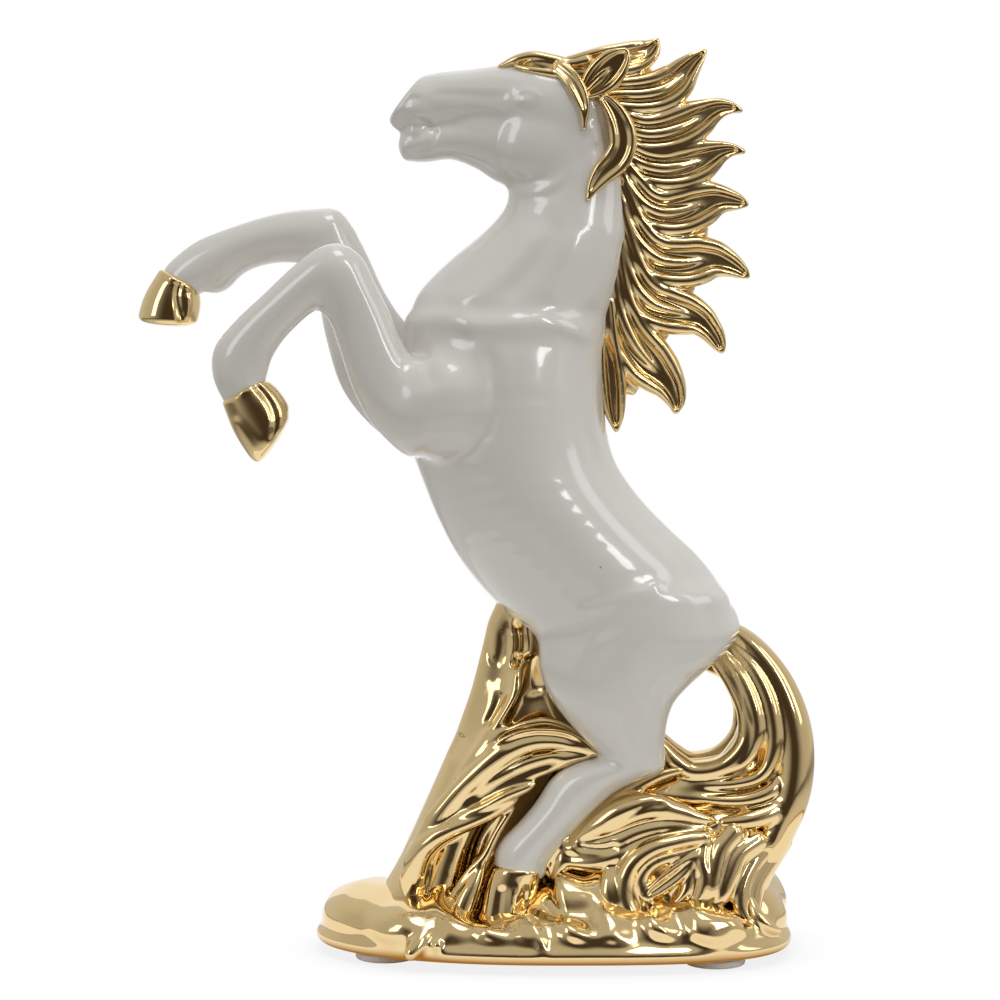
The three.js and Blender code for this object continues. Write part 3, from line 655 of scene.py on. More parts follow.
@dataclass(frozen=True)
class WhiteGlaze:
    """Opaque white earthenware glaze: a dense white body colour under a clear glassy coat, with a few pinholes."""

    name: str = "white_earthenware_glaze"
    colour: str = "#ECEAE5"
    shade: str = "#E4E2DC"
    roughness: float = 0.22
    coat_roughness: float = 0.07
    coat_bend: float = 1.6
    cloud_mm: float = 40.0
    pinhole_apart_mm: float = 34.0
    pinhole_core_mm: float = 0.272
    pinhole_edge_mm: float = 0.476
    pinhole_colour: str = "#8D8A84"

    def material(self) -> bpy.types.Material:
        """Builds the finish from faint clouds of thicker glaze, sparse pinholes and a clear coat.

        Returns:
            The material.
        """
        made = bpy.data.materials.new(self.name)
        made.use_nodes = True
        tree = made.node_tree
        shader = tree.nodes["Principled BSDF"]
        place = add_node(tree, "ShaderNodeTexCoord").outputs["Object"]
        cloud = add_node(tree, "ShaderNodeTexNoise", {"Vector": place},
                         {"Scale": 1 / (self.cloud_mm * MM), "Detail": 2.0, "Roughness": 0.5})
        tone = add_node(tree, "ShaderNodeMix", {"Factor": cloud.outputs["Fac"]}, data_type="RGBA")
        tone.inputs[6].default_value = linear(self.colour)
        tone.inputs[7].default_value = linear(self.shade)
        spots = add_node(tree, "ShaderNodeTexVoronoi", {"Vector": place},
                         {"Scale": 1 / (self.pinhole_apart_mm * MM)}, feature="F1")
        dot = add_node(tree, "ShaderNodeMapRange", {"Value": spots.outputs["Distance"]},
                       {"From Min": self.pinhole_core_mm / self.pinhole_apart_mm,
                        "From Max": self.pinhole_edge_mm / self.pinhole_apart_mm, "To Min": 1.0, "To Max": 0.0})
        pin = add_node(tree, "ShaderNodeMix", {"Factor": dot.outputs["Result"], 6: tone.outputs[2]},
                       data_type="RGBA")
        pin.inputs[7].default_value = linear(self.pinhole_colour)
        tree.links.new(pin.outputs[2], shader.inputs["Base Color"])
        shader.inputs["Roughness"].default_value = self.roughness
        shader.inputs["Coat Weight"].default_value = 1.0
        shader.inputs["Coat Roughness"].default_value = self.coat_roughness
        shader.inputs["Coat IOR"].default_value = self.coat_bend
        return made


@dataclass(frozen=True)
class GoldLustre:
    """Fired gold lustre on glaze: a mirror metal film that follows every wave of the glaze under it."""

    name: str = "fired_gold_lustre"
    colour: str = "#EED39E"
    roughness: float = 0.07
    worn_roughness: float = 0.16
    worn_part: Sequence[float] = (0.4, 0.75)
    wave_mm: float = 9.0
    wave_height_mm: float = 0.1
    polish_mm: float = 36.0

    def material(self) -> bpy.types.Material:
        """Builds the finish from a metal with long shallow waves and faint changes of polish.

        Returns:
            The material.
        """
        made = bpy.data.materials.new(self.name)
        made.use_nodes = True
        tree = made.node_tree
        shader = tree.nodes["Principled BSDF"]
        place = add_node(tree, "ShaderNodeTexCoord").outputs["Object"]
        wave = add_node(tree, "ShaderNodeTexNoise", {"Vector": place},
                        {"Scale": 1 / (self.wave_mm * MM), "Detail": 1.0, "Roughness": 0.4})
        bump = add_node(tree, "ShaderNodeBump", {"Height": wave.outputs["Fac"]},
                        {"Strength": 1.0, "Distance": self.wave_height_mm * MM})
        tree.links.new(bump.outputs["Normal"], shader.inputs["Normal"])
        polish = add_node(tree, "ShaderNodeTexNoise", {"Vector": place},
                          {"Scale": 1 / (self.polish_mm * MM), "Detail": 3.0})
        rough = add_node(tree, "ShaderNodeMapRange", {"Value": polish.outputs["Fac"]},
                         {"From Min": self.worn_part[0], "From Max": self.worn_part[1],
                          "To Min": self.roughness, "To Max": self.worn_roughness})
        tree.links.new(rough.outputs["Result"], shader.inputs["Roughness"])
        shader.inputs["Base Color"].default_value = linear(self.colour)
        shader.inputs["Metallic"].default_value = 1.0
        return made


@dataclass(frozen=True)
class ClearBumper:
    """A stick-on bumper of clear soft rubber, which looks pale grey against its glue."""

    name: str = "clear_bumper_rubber"
    colour: str = "#EEF1F5"
    dust: str = "#DDE1E5"
    roughness: float = 0.35
    dust_mm: float = 5.0

    def material(self) -> bpy.types.Material:
        """Builds the finish from pale rubber with a trace of dust.

        Returns:
            The material.
        """
        made = bpy.data.materials.new(self.name)
        made.use_nodes = True
        tree = made.node_tree
        shader = tree.nodes["Principled BSDF"]
        place = add_node(tree, "ShaderNodeTexCoord").outputs["Object"]
        specks = add_node(tree, "ShaderNodeTexNoise", {"Vector": place},
                          {"Scale": 1 / (self.dust_mm * MM), "Detail": 4.0})
        tone = add_node(tree, "ShaderNodeMix", {"Factor": specks.outputs["Fac"]}, data_type="RGBA")
        tone.inputs[6].default_value = linear(self.colour)
        tone.inputs[7].default_value = linear(self.dust)
        tree.links.new(tone.outputs[2], shader.inputs["Base Color"])
        shader.inputs["Roughness"].default_value = self.roughness
        return made


# Horse


@dataclass
class Horse:
    """The white glazed horse: barrel, neck, head and legs, luted into one body."""

    voxel: float = 1.24
    lens: Lens = Lens(low=232.0, high=260.0, scale=2.1, centre_x=14.0)
    torso: Rows = (
        (-24.3, 204, 46, 201.5, 28), (-25.5, 190, 45, 190, 30.5), (-25, 176, 45, 177, 32.5),
        (-23, 162, 46.5, 164, 33), (-18.5, 149, 49.9, 153.8, 33), (-12.4, 134, 57.5, 142.8, 33),
        (-5.4, 121.2, 67.5, 132.3, 32.3), (4.6, 108.7, 78.7, 121.7, 31.7), (18, 96, 88, 109, 31),
        (34, 84, 93, 98.2, 29.7), (50, 77, 90.2, 91, 24), (61, 77.5, 84.6, 87, 14))
    neck: Rows = (
        (23.5, 278, 50, 277, 12.5), (20, 268, 51, 268, 13.5), (15.8, 259.5, 53, 257.5, 14.5),
        (12.4, 251, 54, 247, 15.5), (10.2, 243.2, 54, 236, 17.5), (2.8, 235, 52.5, 226, 20),
        (-7, 227, 50.5, 217, 22), (-15.5, 219, 48.5, 210, 24), (-20.8, 212, 47, 206, 25.4),
        (-23, 202, 45.5, 199, 26.4))
    skull: Rows = (
        (39, 278.6, 13.5, 12), (29.5, 276.8, 17.2, 14), (19, 279.4, 15, 13.4), (9, 281, 12, 10.5),
        (-1.5, 281.4, 9.9, 8.5), (-11, 280.3, 10, 8), (-19, 279.4, 9.3, 8.2), (-26.6, 278.4, 8.3, 6.6))
    nose_cutter: Rows = ((-29.4, 308.2, 20, 40), (-48.3, 283, 20, 40))
    neck_blend: float = 3.0
    head_blend: float = 6.0
    nose_blend: float = 3.0
    foreleg_blend: float = 5.0
    hind_leg_blend: float = 4.0
    cheek: Lump = Lump((22.4, 8.4, 264.6), (14, 6.4, 12.4), 4.0)
    eye: Lump = Lump((18.4, 11.5, 280), (3.4, 2.2, 2.0), 2.4, 8)
    nostril: Lump = Lump((-19, 3.2, 277), (6, 5.2, 5.2), 3.0, 12)
    lip: Lump = Lump((-20.4, 0, 269.6), (4.6, 6.2, 3.6), 3.0)
    shoulder: Lump = Lump((-10.4, 21, 175.6), (20, 14, 18.4), 4.0, 15)
    jaw: Rows = (
        (32.5, 266.9, 15.5, 12.5), (22.5, 265.3, 16, 13), (12, 266.7, 15.4, 11), (2, 267.8, 11.4, 9),
        (-8.5, 267.4, 7.4, 7.1), (-17.5, 265.4, 6.2, 7), (-23.1, 264.7, 5.2, 6))
    left_foreleg: Rows = (
        (-82.5, 170.5, -69, 180, 7, 20), (-85.2, 175.6, -71.6, 183, 7.4, 20), (-89.6, 185.3, -70.8, 186.6, 7.8, 20),
        (-89.3, 195.1, -68.9, 192.2, 7.8, 20), (-82.5, 204.1, -64.9, 198.4, 7.6, 20),
        (-72.2, 213.8, -58.8, 204.8, 7.6, 20),
        (-62.7, 222.7, -54.6, 208.2, 7.9, 20), (-54.4, 229.2, -52.8, 209, 8.4, 20),
        (-46.2, 231.4, -52.6, 208.8, 8.6, 20),
        (-38.5, 226.7, -52.2, 207.4, 8.6, 20), (-33.7, 217.4, -49.4, 204.3, 8.4, 20),
        (-29.5, 208.8, -46.5, 195.8, 8.6, 20), (-24.6, 197.4, -41.7, 181.4, 9.4, 20),
        (-19, 188.1, -34.5, 168.6, 10.8, 20), (-9, 184.7, -22.2, 157.4, 12.5, 20))
    right_foreleg: Rows = (
        (-111.6, 216.6, -98.6, 210.4, 7, 20), (-110.2, 222.3, -96.8, 214.2, 7.4, 20),
        (-104.3, 228.1, -92.2, 213.4, 7.7, 20),
        (-98, 232.4, -87.4, 215.2, 7.7, 20), (-88.8, 236.1, -81.7, 220.7, 7.6, 20),
        (-78.4, 239.8, -73.8, 223.7, 7.6, 20), (-67.9, 242.3, -65.6, 224.4, 7.9, 20),
        (-57.9, 243.4, -59.1, 223.4, 8.4, 20),
        (-49, 243.2, -56.8, 221.8, 8.6, 20), (-43.1, 236.8, -55.8, 218.2, 8.6, 20), (-38.4, 227.8, -55.4, 211, 8.4, 20),
        (-32.4, 214.8, -52.9, 197, 8.6, 20), (-25.4, 203.8, -47.2, 179.4, 9.4, 20),
        (-19, 195.6, -35.8, 165.4, 10.8, 20),
        (-10, 187, -22.6, 157, 12.5, 20))
    hind_leg: Rows = (
        (30, 112, 88, 108, 19, 11), (23, 97, 86.4, 92.6, 19, 12.6), (22.2, 88, 80, 84, 17.8, 14),
        (23.4, 80.5, 74, 78.2, 16, 15.6), (26.6, 73.5, 69.6, 73.6, 14.4, 16.8), (32.1, 66.2, 67.3, 68.6, 12.8, 17.4),
        (37.8, 60, 66.2, 63.4, 11.6, 17.7), (43.2, 55, 65.8, 57.8, 10.8, 17.7), (44.4, 53.6, 66.2, 52.6, 10.4, 17.6),
        (43, 53.4, 65.2, 49, 10, 17.5), (38, 52.8, 58, 46, 9.8, 17.5), (31.4, 50, 49.4, 42, 9.6, 17.5),
        (26.2, 45.8, 42.5, 36, 9.5, 17.5), (21, 37.8, 36.7, 30.2, 9.5, 17.5), (15.2, 30.8, 32.1, 25.2, 9.5, 17.5),
        (9.2, 24.6, 28.5, 20.4, 9.5, 17.5), (6.8, 18.6, 25.9, 16.8, 9.5, 17.5), (7.2, 12.5, 24.7, 12.5, 9.3, 17.5))
    rib_count: int = 13
    rib_rings: Sequence[float] = (0.17, 0.63)
    rib_reach: Sequence[float] = (-0.9, 0.62)
    rib_sag: float = 5.0
    rib_depth: float = 0.34
    rib_width: float = 2.3
    head_lines: Sequence[Line] = (
        (((-29, 274.6), (-23.3, 274.4), (-18.4, 273.6), (-14.8, 271.4), (-13.6, 268.4), (-15.4, 265), (-19.4, 263.2),
          (-25, 262.9)), 0.75, 1.1),
        (((8, 257.5), (13.4, 253.6), (19, 252.2), (25, 252.8), (30.4, 256.5), (32.8, 261.5)), 0.2, 1.4),
        (((6.5, 255.3), (12.5, 251.2), (19, 249.6), (26, 250.3), (32.2, 254), (35.2, 260.5)), -0.3, 1.5),
        (((11, 246.8), (19, 245.9), (26, 247.8), (31, 251.6), (35.6, 259), (37, 266)), 0.45, 1.6),
        (((-16, 282), (-6, 282.4), (5, 281.6), (12, 281.6)), 0.35, 1.3),
        (((-16, 286.6), (-4, 287.6), (8, 288), (18, 287)), -0.25, 1.4),
        (((-12, 277.6), (-2, 278.2), (6, 277.4), (12, 275.2)), -0.4, 1.5),
        (((-10, 271), (-2, 270.2), (6, 268.8)), 0.25, 2.2),
        (((13.6, 281.6), (16.6, 283.4), (20.4, 282.8), (23.6, 280)), -0.35, 1.1),
        (((14, 278.4), (16.6, 277.2), (20, 276.8), (23, 277.4)), 0.25, 1.1),
        (((-24.2, 278.6), (-22.6, 280.6), (-20.4, 281), (-18.6, 280)), 0.45, 1.0),
        (((36.5, 268), (39.5, 271), (41.5, 268.5), (42, 264)), -0.8, 1.6))
    neck_lines: Sequence[Line] = (
        (((36, 236), (30, 222), (25, 210)), -0.5, 3.6), (((48.5, 240), (44.5, 222), (39, 208)), -0.4, 3.4),
        (((24, 240), (14, 226), (2, 215), (-9, 209)), -0.8, 3.6), (((42, 238), (37.5, 222), (31, 208)), 0.3, 3.2),
        (((30, 240), (21, 224), (10, 212)), 0.6, 3.0), (((14, 240), (6, 228), (-5, 219), (-15, 213)), 0.5, 2.6),
        (((-26, 202), (-18, 205.6), (-8, 206.2), (2, 202.8)), -1.3, 3.2),
        (((-6, 203), (6, 203.4), (18, 204.6), (32, 203), (42, 197)), -0.9, 3.0),
        (((20, 205.4), (24, 206.4), (28, 204.4), (33, 203.2)), -0.5, 1.5),
        (((-17, 197.6), (-8, 198.4), (2, 197.2)), 0.5, 3.0), (((4, 197), (16, 197), (28, 195.6)), 0.35, 3.0))
    back_lines: Sequence[Line] = (
        (((43, 196), (38.6, 184), (37.4, 172), (39.6, 162), (45, 150), (56, 137), (69, 124), (77, 111), (80.4, 98)),
         0.55, 1.7),
        (((46.6, 196), (42, 184), (40.8, 172), (43.2, 163), (48.8, 152.6), (60, 140), (73, 126.6), (80.6, 113),
          (84, 101)), -0.5, 1.5))
    shoulder_lines: Sequence[Line] = (
        (((3, 197.6), (6, 191), (7.2, 183), (7, 175), (4, 167), (-3, 159.6), (-12, 157)), 1.2, 1.7),
        (((-17.6, 198), (-16, 190), (-14.2, 182)), 1.0, 2.0),
        (((-16, 158.8), (-10, 159.8), (-5, 161)), -0.5, 1.3),
        (((-2, 157.6), (2, 153.6), (3.4, 150)), -0.5, 1.6))
    arm_lines: Sequence[Line] = (
        (((-43, 226), (-39, 218), (-33, 204.5), (-24, 185), (-20.4, 180.6), (-14, 178.6)), -0.45, 0.8),
        (((-53, 216), (-62, 206), (-69, 196.5), (-73.4, 186.5)), 0.55, 1.2))
    far_arm_lines: Sequence[Line] = (
        (((-58, 231.5), (-72, 229.6), (-84, 225.6), (-94, 220)), 0.6, 1.3),)
    haunch_lines: Sequence[Line] = (
        (((34, 105), (43.5, 109), (60, 114.2), (64.6, 113)), -1.0, 2.0),
        (((32, 109), (50, 112.4), (63, 117.6)), 0.8, 2.0),
        (((48, 102.6), (38.6, 95.4), (34.6, 84.6)), -0.5, 1.6), (((54, 100), (43.5, 93), (39.5, 82)), 0.5, 2.2),
        (((76, 84), (66, 80), (58, 72)), 0.5, 2.2), (((58.6, 96), (68, 90), (78, 92)), 0.45, 3.0),
        (((50, 80), (57, 72.6), (58, 66)), -0.4, 1.6))

    def _trunk_of_body(self, clay: Clay) -> None:
        """Adds the barrel and the neck."""
        clay.add(skin(profile_rail(self.torso), sides=64, dome=0.3), 0)
        clay.add(skin(profile_rail(self.neck), sides=64, dome=0.3), self.neck_blend)

    def _head(self, clay: Clay) -> None:
        """Adds the skull and jaw with the cheeks, eyes, nostrils and lip, and cuts the nose off straight.

        Args:
            clay: the clay to add to.
        """
        clay.add(limb(self.skull, sides=56), self.head_blend)
        clay.add(limb(self.jaw, sides=56), self.head_blend)
        for side in BOTH_SIDES:
            for lump in (self.cheek, self.eye, self.nostril):
                lump.add_to(clay, side)
        self.lip.add_to(clay, Side.BOTH)
        clay.cut(limb(self.nose_cutter, sides=56), self.nose_blend)

    def _legs(self, clay: Clay) -> None:
        """Adds the forelegs with their shoulders and the hind legs with their haunches.

        Args:
            clay: the clay to add to.
        """
        for side, foreleg in ((Side.LEFT, self.left_foreleg), (Side.RIGHT, self.right_foreleg)):
            self.shoulder.add_to(clay, side)
            clay.add(skin(profile_rail(foreleg, 10, side), sides=48, dome=0.4), self.foreleg_blend)
            clay.add(skin(profile_rail(self.hind_leg, 10, side), sides=56, dome=0.3), self.hind_leg_blend)

    def _ribs(self, clay: Clay) -> None:
        """Sinks the grooves between the ribs.

        They run along rings of the barrel, evenly spread between two shares of its length, from near the belly to
        near the back, and sag from the straight line by the square of the distance from a tenth past its middle.

        Args:
            clay: the clay to sink them into.
        """
        rail = profile_rail(self.torso, 40)
        share = np.linspace(*self.rib_reach, 9)[:, None]
        first, last = self.rib_rings
        for i in range(self.rib_count):
            ring = int(len(rail.deep) * (first + (last - first) * i / (self.rib_count - 1)))
            centre, through = rail.centre[ring, ::2], rail.through[ring, ::2]
            path = centre - through * rail.deep[ring] * share
            path[:, 1] -= self.rib_sag * (share[:, 0] - 0.1) ** 2
            clay.relief(path, self.rib_depth, self.rib_width)

    def build(self, glaze: bpy.types.Material) -> bpy.types.Object:
        """Builds the horse in one piece, less its gilded parts.

        Args:
            glaze: the white finish.

        Returns:
            The glazed horse.
        """
        clay = Clay((-118, -48, -8), (104, 48, 300), self.voxel, reach=8.0, lens=self.lens)
        self._trunk_of_body(clay)
        self._head(clay)
        self._legs(clay)
        self._ribs(clay)
        for lines, side in ((self.head_lines, Side.BOTH), (self.neck_lines, Side.BOTH),
                            (self.shoulder_lines, Side.BOTH), (self.back_lines, Side.BOTH),
                            (self.haunch_lines, Side.BOTH),
                            (self.arm_lines, Side.LEFT), (self.far_arm_lines, Side.RIGHT)):
            for path, depth, width in lines:
                clay.relief(path, depth, width, side)
        clay.soften(1)
        points, faces = clay.surface(5)
        nodes = ["torso", "neck", "head", "left_foreleg", "right_foreleg", "left_hind_leg", "right_hind_leg"]
        return make_piece("glazed_horse", points, faces, glaze, nodes)


@dataclass
class Hooves:
    """The four gilded hooves: two lifted with the soles in view, and two under the pasterns on the rock."""

    voxel: float = 0.5
    margin: float = 4.0
    fore_spread: float = 20.0
    hind_spread: float = 17.5
    left_fore: Rows = (
        (-86.4, 176.6, -70.2, 184, 8.4), (-82.5, 166.8, -67.2, 181.2, 9.4), (-77.3, 158.4, -63.8, 176, 10),
        (-74.6, 156.2, -63.6, 172.6, 9.6))
    right_fore: Rows = (
        (-111.8, 222, -97.6, 214, 8.4), (-116.9, 213.6, -97.4, 209, 9.4), (-119.4, 206, -98.6, 203.4, 10),
        (-118.8, 204.4, -100, 203, 9.6))
    hind: Rows = (
        (5.6, 15.5, 24.4, 14.8, 9.9), (3, 9, 22.6, 9, 10.4), (0.6, 1, 20.6, 1, 11.2), (-0.4, -4, 20, -4, 11.6))
    left_fore_lines: Sequence[Line] = (
        (((-76, 184), (-71.6, 179.6), (-68.6, 174.6), (-67.8, 169.6), (-70, 163)), 1.3, 1.0),
        (((-81, 179.6), (-76, 183), (-71.4, 185)), -0.8, 1.0),
        (((-82.4, 172.6), (-78, 165), (-74.2, 159)), -0.5, 1.4))
    right_fore_lines: Sequence[Line] = (
        (((-103.4, 219), (-104.9, 212.6), (-103.2, 203)), 1.3, 1.0),
        (((-109, 219.6), (-104, 217.8), (-99, 214.4)), -0.8, 1.0),
        (((-101, 214), (-100.2, 208.6), (-101.4, 204)), -0.7, 1.3))
    hind_lines: Sequence[Line] = (
        (((9.6, 11), (8.4, 3), (7.8, -4)), 1.0, 1.3),
        (((13.6, 11), (13, 3), (12.6, -4)), -0.9, 1.2), (((17.4, 11), (16.8, 3), (16.4, -4)), 1.1, 1.2))

    def build(self, gold: bpy.types.Material) -> list[bpy.types.Object]:
        """Builds each hoof from its profile, with its grooves.

        Args:
            gold: the gilded finish.

        Returns:
            The four hooves.
        """
        made = []
        places = (("left_fore_hoof", self.left_fore, -self.fore_spread, self.left_fore_lines),
                  ("right_fore_hoof", self.right_fore, self.fore_spread, self.right_fore_lines),
                  ("left_hind_hoof", self.hind, -self.hind_spread, self.hind_lines),
                  ("right_hind_hoof", self.hind, self.hind_spread, self.hind_lines))
        for name, rows, y, lines in places:
            body = skin(shifted(profile_rail(rows), y), sides=48, dome=0.18, fullness=2.3)
            clay = Clay(body.points.min(0) - self.margin, body.points.max(0) + self.margin, self.voxel, reach=3.0)
            clay.add(body, 0)
            for path, depth, width in lines:
                clay.relief(path, depth, width)
            clay.soften(2)
            points, faces = clay.surface()
            made.append(make_piece(name.replace("hoof", "hoof_gilt"), points, faces, gold, [name]))
        return made


# Gilded hair


def flame(rows: Rows, side: Side = Side.LEFT, wide: Sequence[float] = (5.0, 2.5), proud: float = 1.5,
          rim: float = 0.3, middle: int = 0, steps: int = 8) -> list[Skin]:
    """A flame-shaped lock or leaf: a sunk web inside two rims that meet at the tip, with ridges between them.

    Each ridge runs beside the spine at a share of its half depth, square to it in profile. The rims lie at the
    half depth less their own, and the middle ridges are spread evenly between them. From a third of the way along,
    these thin and sink by smooth steps, so that a flat hollow opens towards the tip, where it is half as deep.

    Args:
        rows: rows of x, distance from the middle plane, z and half depth, from the root to the tip.
        side: the side that it is on.
        wide: the half width across at the root and at the tip.
        proud: how far the ridges stand out of the web.
        rim: a rim's half depth as a share of the lock's.
        middle: the count of ridges between the rims.
        steps: rings for each span.

    Returns:
        A skin for each part.
    """
    least_deep, least_rim, most_rim = 0.45, 0.75, 2.6
    rim_width, sink, slimming, middle_length = 1.3, 1.6, 0.7, 0.86
    web_deep, fade_from, fade_over = 0.94, 0.32, 0.42
    line = spline(rows, steps)
    t = np.linspace(0, 1, len(line))
    across = wide[0] + (wide[1] - wide[0]) * t**1.4
    along = unit(np.gradient(line[:, [0, 2]], axis=0))
    square = np.stack([-along[:, 1], along[:, 0]], 1)
    deep = np.maximum(line[:, 3], least_deep)
    thick = np.clip(rim * deep, least_rim, most_rim)

    def part(offset: np.ndarray, y: np.ndarray, half: np.ndarray, width: np.ndarray, share: float = 1.0,
             fullness: float = 2.0) -> Skin:
        """The skin of a ridge or of the web, over a share of the lock's length.

        Args:
            offset: how far it runs from the spine.
            y: where it runs across the horse.
            half: its half depth.
            width: its half width across.
            share: the share of the length.
            fullness: how square its section is.

        Returns:
            The skin.
        """
        count = max(round(len(line) * share), 4)
        place = line[:, [0, 2]] + square * offset[:, None]
        sections = np.stack([place[:, 0], y, place[:, 1], np.maximum(half, 0.4), np.maximum(width, 0.5)], 1)
        return skin(path_rail(sections[:count], 1), sides=24, dome=0.7, fullness=fullness)

    room = np.maximum(deep - thick, 0)
    made = [part(0 * t, side.value * line[:, 1], deep * web_deep, across - proud * (1 - 0.5 * t**2), 1.0, 3.0)]
    for sign in (-1, 1) if side is Side.BOTH else (side.value,):
        y = sign * (line[:, 1] + np.maximum(across - rim_width * thick, 0))
        made += [part(edge * room, y, thick, rim_width * thick) for edge in (-1, 1)]
        for i in range(middle):
            fade = np.clip((t - fade_from) / fade_over, 0, 1)
            fade = fade * fade * (3 - 2 * fade)
            offset = room * (2 * (i + 1) / (middle + 1) - 1)
            slim = thick * (1 - slimming * fade)
            made.append(part(offset, y - sign * sink * fade, slim, rim_width * slim, middle_length))
    return made


def ridge(rows: Rows, side: Side = Side.LEFT, fullness: float = 1.0) -> Skin:
    """A plain tapering strand from rows of x, distance from the middle plane, z and half depth."""
    placed = [(x, side.value * out, z, deep, max(deep * fullness, 0.5)) for x, out, z, deep in rows]
    return skin(path_rail(placed, 8), sides=24, dome=0.8)


def finish_gilt(clay: Clay, name: str, nodes: Sequence[str], gold: bpy.types.Material,
                passes: int = 1) -> bpy.types.Object:
    """Draws off a gilded piece from its clay, with its edges rounded as thick glaze rounds them.

    Args:
        clay: the clay.
        name: the piece's name.
        nodes: the nodes that it stands for.
        gold: the gilded finish.
        passes: the count of rounding passes.

    Returns:
        The piece.
    """
    clay.soften(passes)
    points, faces = clay.surface()
    return make_piece(name, points, faces, gold, nodes)


@dataclass
class Mane:
    """The mane: flame locks of several ridges each, fanned out from the back of the neck."""

    voxel: float = 0.55
    crest: Rows = (
        (40, 290, 4, 4.6), (47.5, 281, 5, 5), (50.6, 267.5, 5, 5), (52, 250, 5, 5), (51.6, 232.5, 5, 5),
        (49, 215.5, 4.6, 4.6), (46.4, 199.5, 3, 4), (45.2, 184, 2, 3.4))
    locks: Sequence[Rows] = (
        ((33, 0, 292.4, 4.8), (43.8, 0, 294.8, 5.7), (50.8, 0, 296, 6), (56.6, 0, 297.2, 5.8), (60.6, 0, 299.2, 4.4),
         (62.6, 0, 301.4, 2.6), (63.5, 0, 303.3, 1)),
        ((44, 0, 283, 4.8), (50, 0, 283.8, 6), (57.8, 0, 283.9, 7), (64.6, 0, 285.2, 7.4), (69.8, 0, 288.2, 7),
         (73.3, 0, 292.2, 5.3), (76.2, 0, 295.3, 3.7), (78.6, 0, 297.6, 2.4), (80.4, 0, 299.2, 1)),
        ((46, 0, 276, 4.4), (50, 0, 273.6, 5.6), (57.8, 0, 270.3, 6.8), (65, 0, 270.3, 7.5), (72, 0, 272.4, 7.9),
         (77.8, 0, 275.4, 6.9), (82, 0, 277.8, 5), (85.6, 0, 279.2, 3.6), (89.2, 0, 279.4, 2.4), (93, 0, 278.4, 1)),
        ((46.6, 0, 268.6, 4.6), (50.6, 0, 264.6, 5.8), (57.6, 0, 259.8, 7), (65, 0, 258, 7.7), (72, 0, 258.8, 8.3),
         (78, 0, 260.6, 7.8), (82, 0, 262.3, 6.1), (85.6, 0, 263.8, 4.1), (89.6, 0, 264.6, 2.5), (94, 0, 264, 1)),
        ((48, 0, 261, 4.4), (51.6, 0, 255.6, 5.6), (55.8, 0, 249, 7), (60, 0, 244.8, 7.6), (65.6, 0, 242.6, 8.3),
         (72.4, 0, 243.2, 8.8), (78.6, 0, 245.4, 8.3), (83, 0, 246.9, 6.7), (86.4, 0, 247.2, 5),
         (89.6, 0, 246.8, 3.8), (92.6, 0, 246.2, 2.7), (95, 0, 245.4, 1.1)),
        ((49, 0, 252, 4.2), (51.4, 0, 245, 5.6), (54.6, 0, 236.8, 6.8), (59, 0, 230.2, 8), (65, 0, 226, 8.9),
         (72.4, 0, 225.2, 9.2), (78.6, 0, 226, 8.7), (83.4, 0, 226.2, 7), (87.6, 0, 225, 5.2), (91, 0, 223.3, 3.8),
         (93.8, 0, 221.4, 2.4), (95.4, 0, 220.2, 1.1)),
        ((48.6, 0, 243, 4.2), (50.2, 0, 234.6, 5.4), (52.8, 0, 224.8, 6.8), (56.4, 0, 216.6, 7.8),
         (61.6, 0, 211, 8.6), (67.8, 0, 208.6, 8.6), (73.4, 0, 207.2, 7.8), (78.3, 0, 205.2, 6), (81.7, 0, 202, 4.6),
         (83.9, 0, 199, 3.7), (85.5, 0, 195.8, 2.5), (86.3, 0, 193.8, 1.1)),
        ((47.4, 0, 230, 3.8), (48.2, 0, 222, 4.8), (49.6, 0, 213, 6), (52, 0, 204.4, 7.5), (55.6, 0, 196.8, 8.9),
         (60.2, 0, 190.8, 9.3), (64.2, 0, 186.6, 8.3), (67.4, 0, 182.8, 6.4), (69.3, 0, 179.2, 4.8),
         (70.2, 0, 175.8, 3.2), (70.1, 0, 172.6, 1.2)),
        ((46, 0, 212, 2.2), (46.5, 0, 201, 3.2), (47.2, 0, 191, 4.2), (48, 0, 183, 4.7), (48.5, 0, 176, 4.2),
         (49, 0, 170.6, 3), (49.4, 0, 166.2, 1)))
    sheet: Rows = (
        (41, 296, 57.4, 296, 3.4), (45, 288, 69, 286.8, 4.2), (48, 276, 77.4, 275, 4.4), (50, 263, 80.4, 262.4, 4.4),
        (52, 251, 81.8, 247.4, 4.4), (52, 239, 81, 231, 4.4), (51, 226, 76.4, 214.4, 4.4), (48.5, 215, 68, 199.8, 4),
        (46.5, 204, 60.4, 186.4, 3.6), (45.5, 193, 56, 178.6, 3))
    middles: Sequence[int] = (1, 1, 1, 1, 1, 1, 1, 1, 0)
    rim: float = 0.32
    wide: Sequence[float] = (8.8, 3.4)
    proud: float = 3.2
    sheet_blend: float = 1.0
    lock_blend: float = 0.6

    def build(self, gold: bpy.types.Material) -> bpy.types.Object:
        """Builds the mane from its crest, the sheet between the locks and the locks.

        Args:
            gold: the gilded finish.

        Returns:
            The gilded mane.
        """
        clay = Clay((28, -14, 160), (102, 14, 308), self.voxel, reach=3.0)
        clay.add(limb(self.crest, sides=40), 0)
        clay.add(skin(profile_rail(self.sheet), sides=64, fullness=3), self.sheet_blend)
        for lock, middle in zip(self.locks, self.middles):
            for part in flame(lock, Side.BOTH, self.wide, self.proud, self.rim, middle, 6):
                clay.add(part, self.lock_blend)
        clay.soften(1)
        points, faces = clay.surface()
        return make_piece("gilded_mane", as_seen(points), faces, gold, ["mane"])


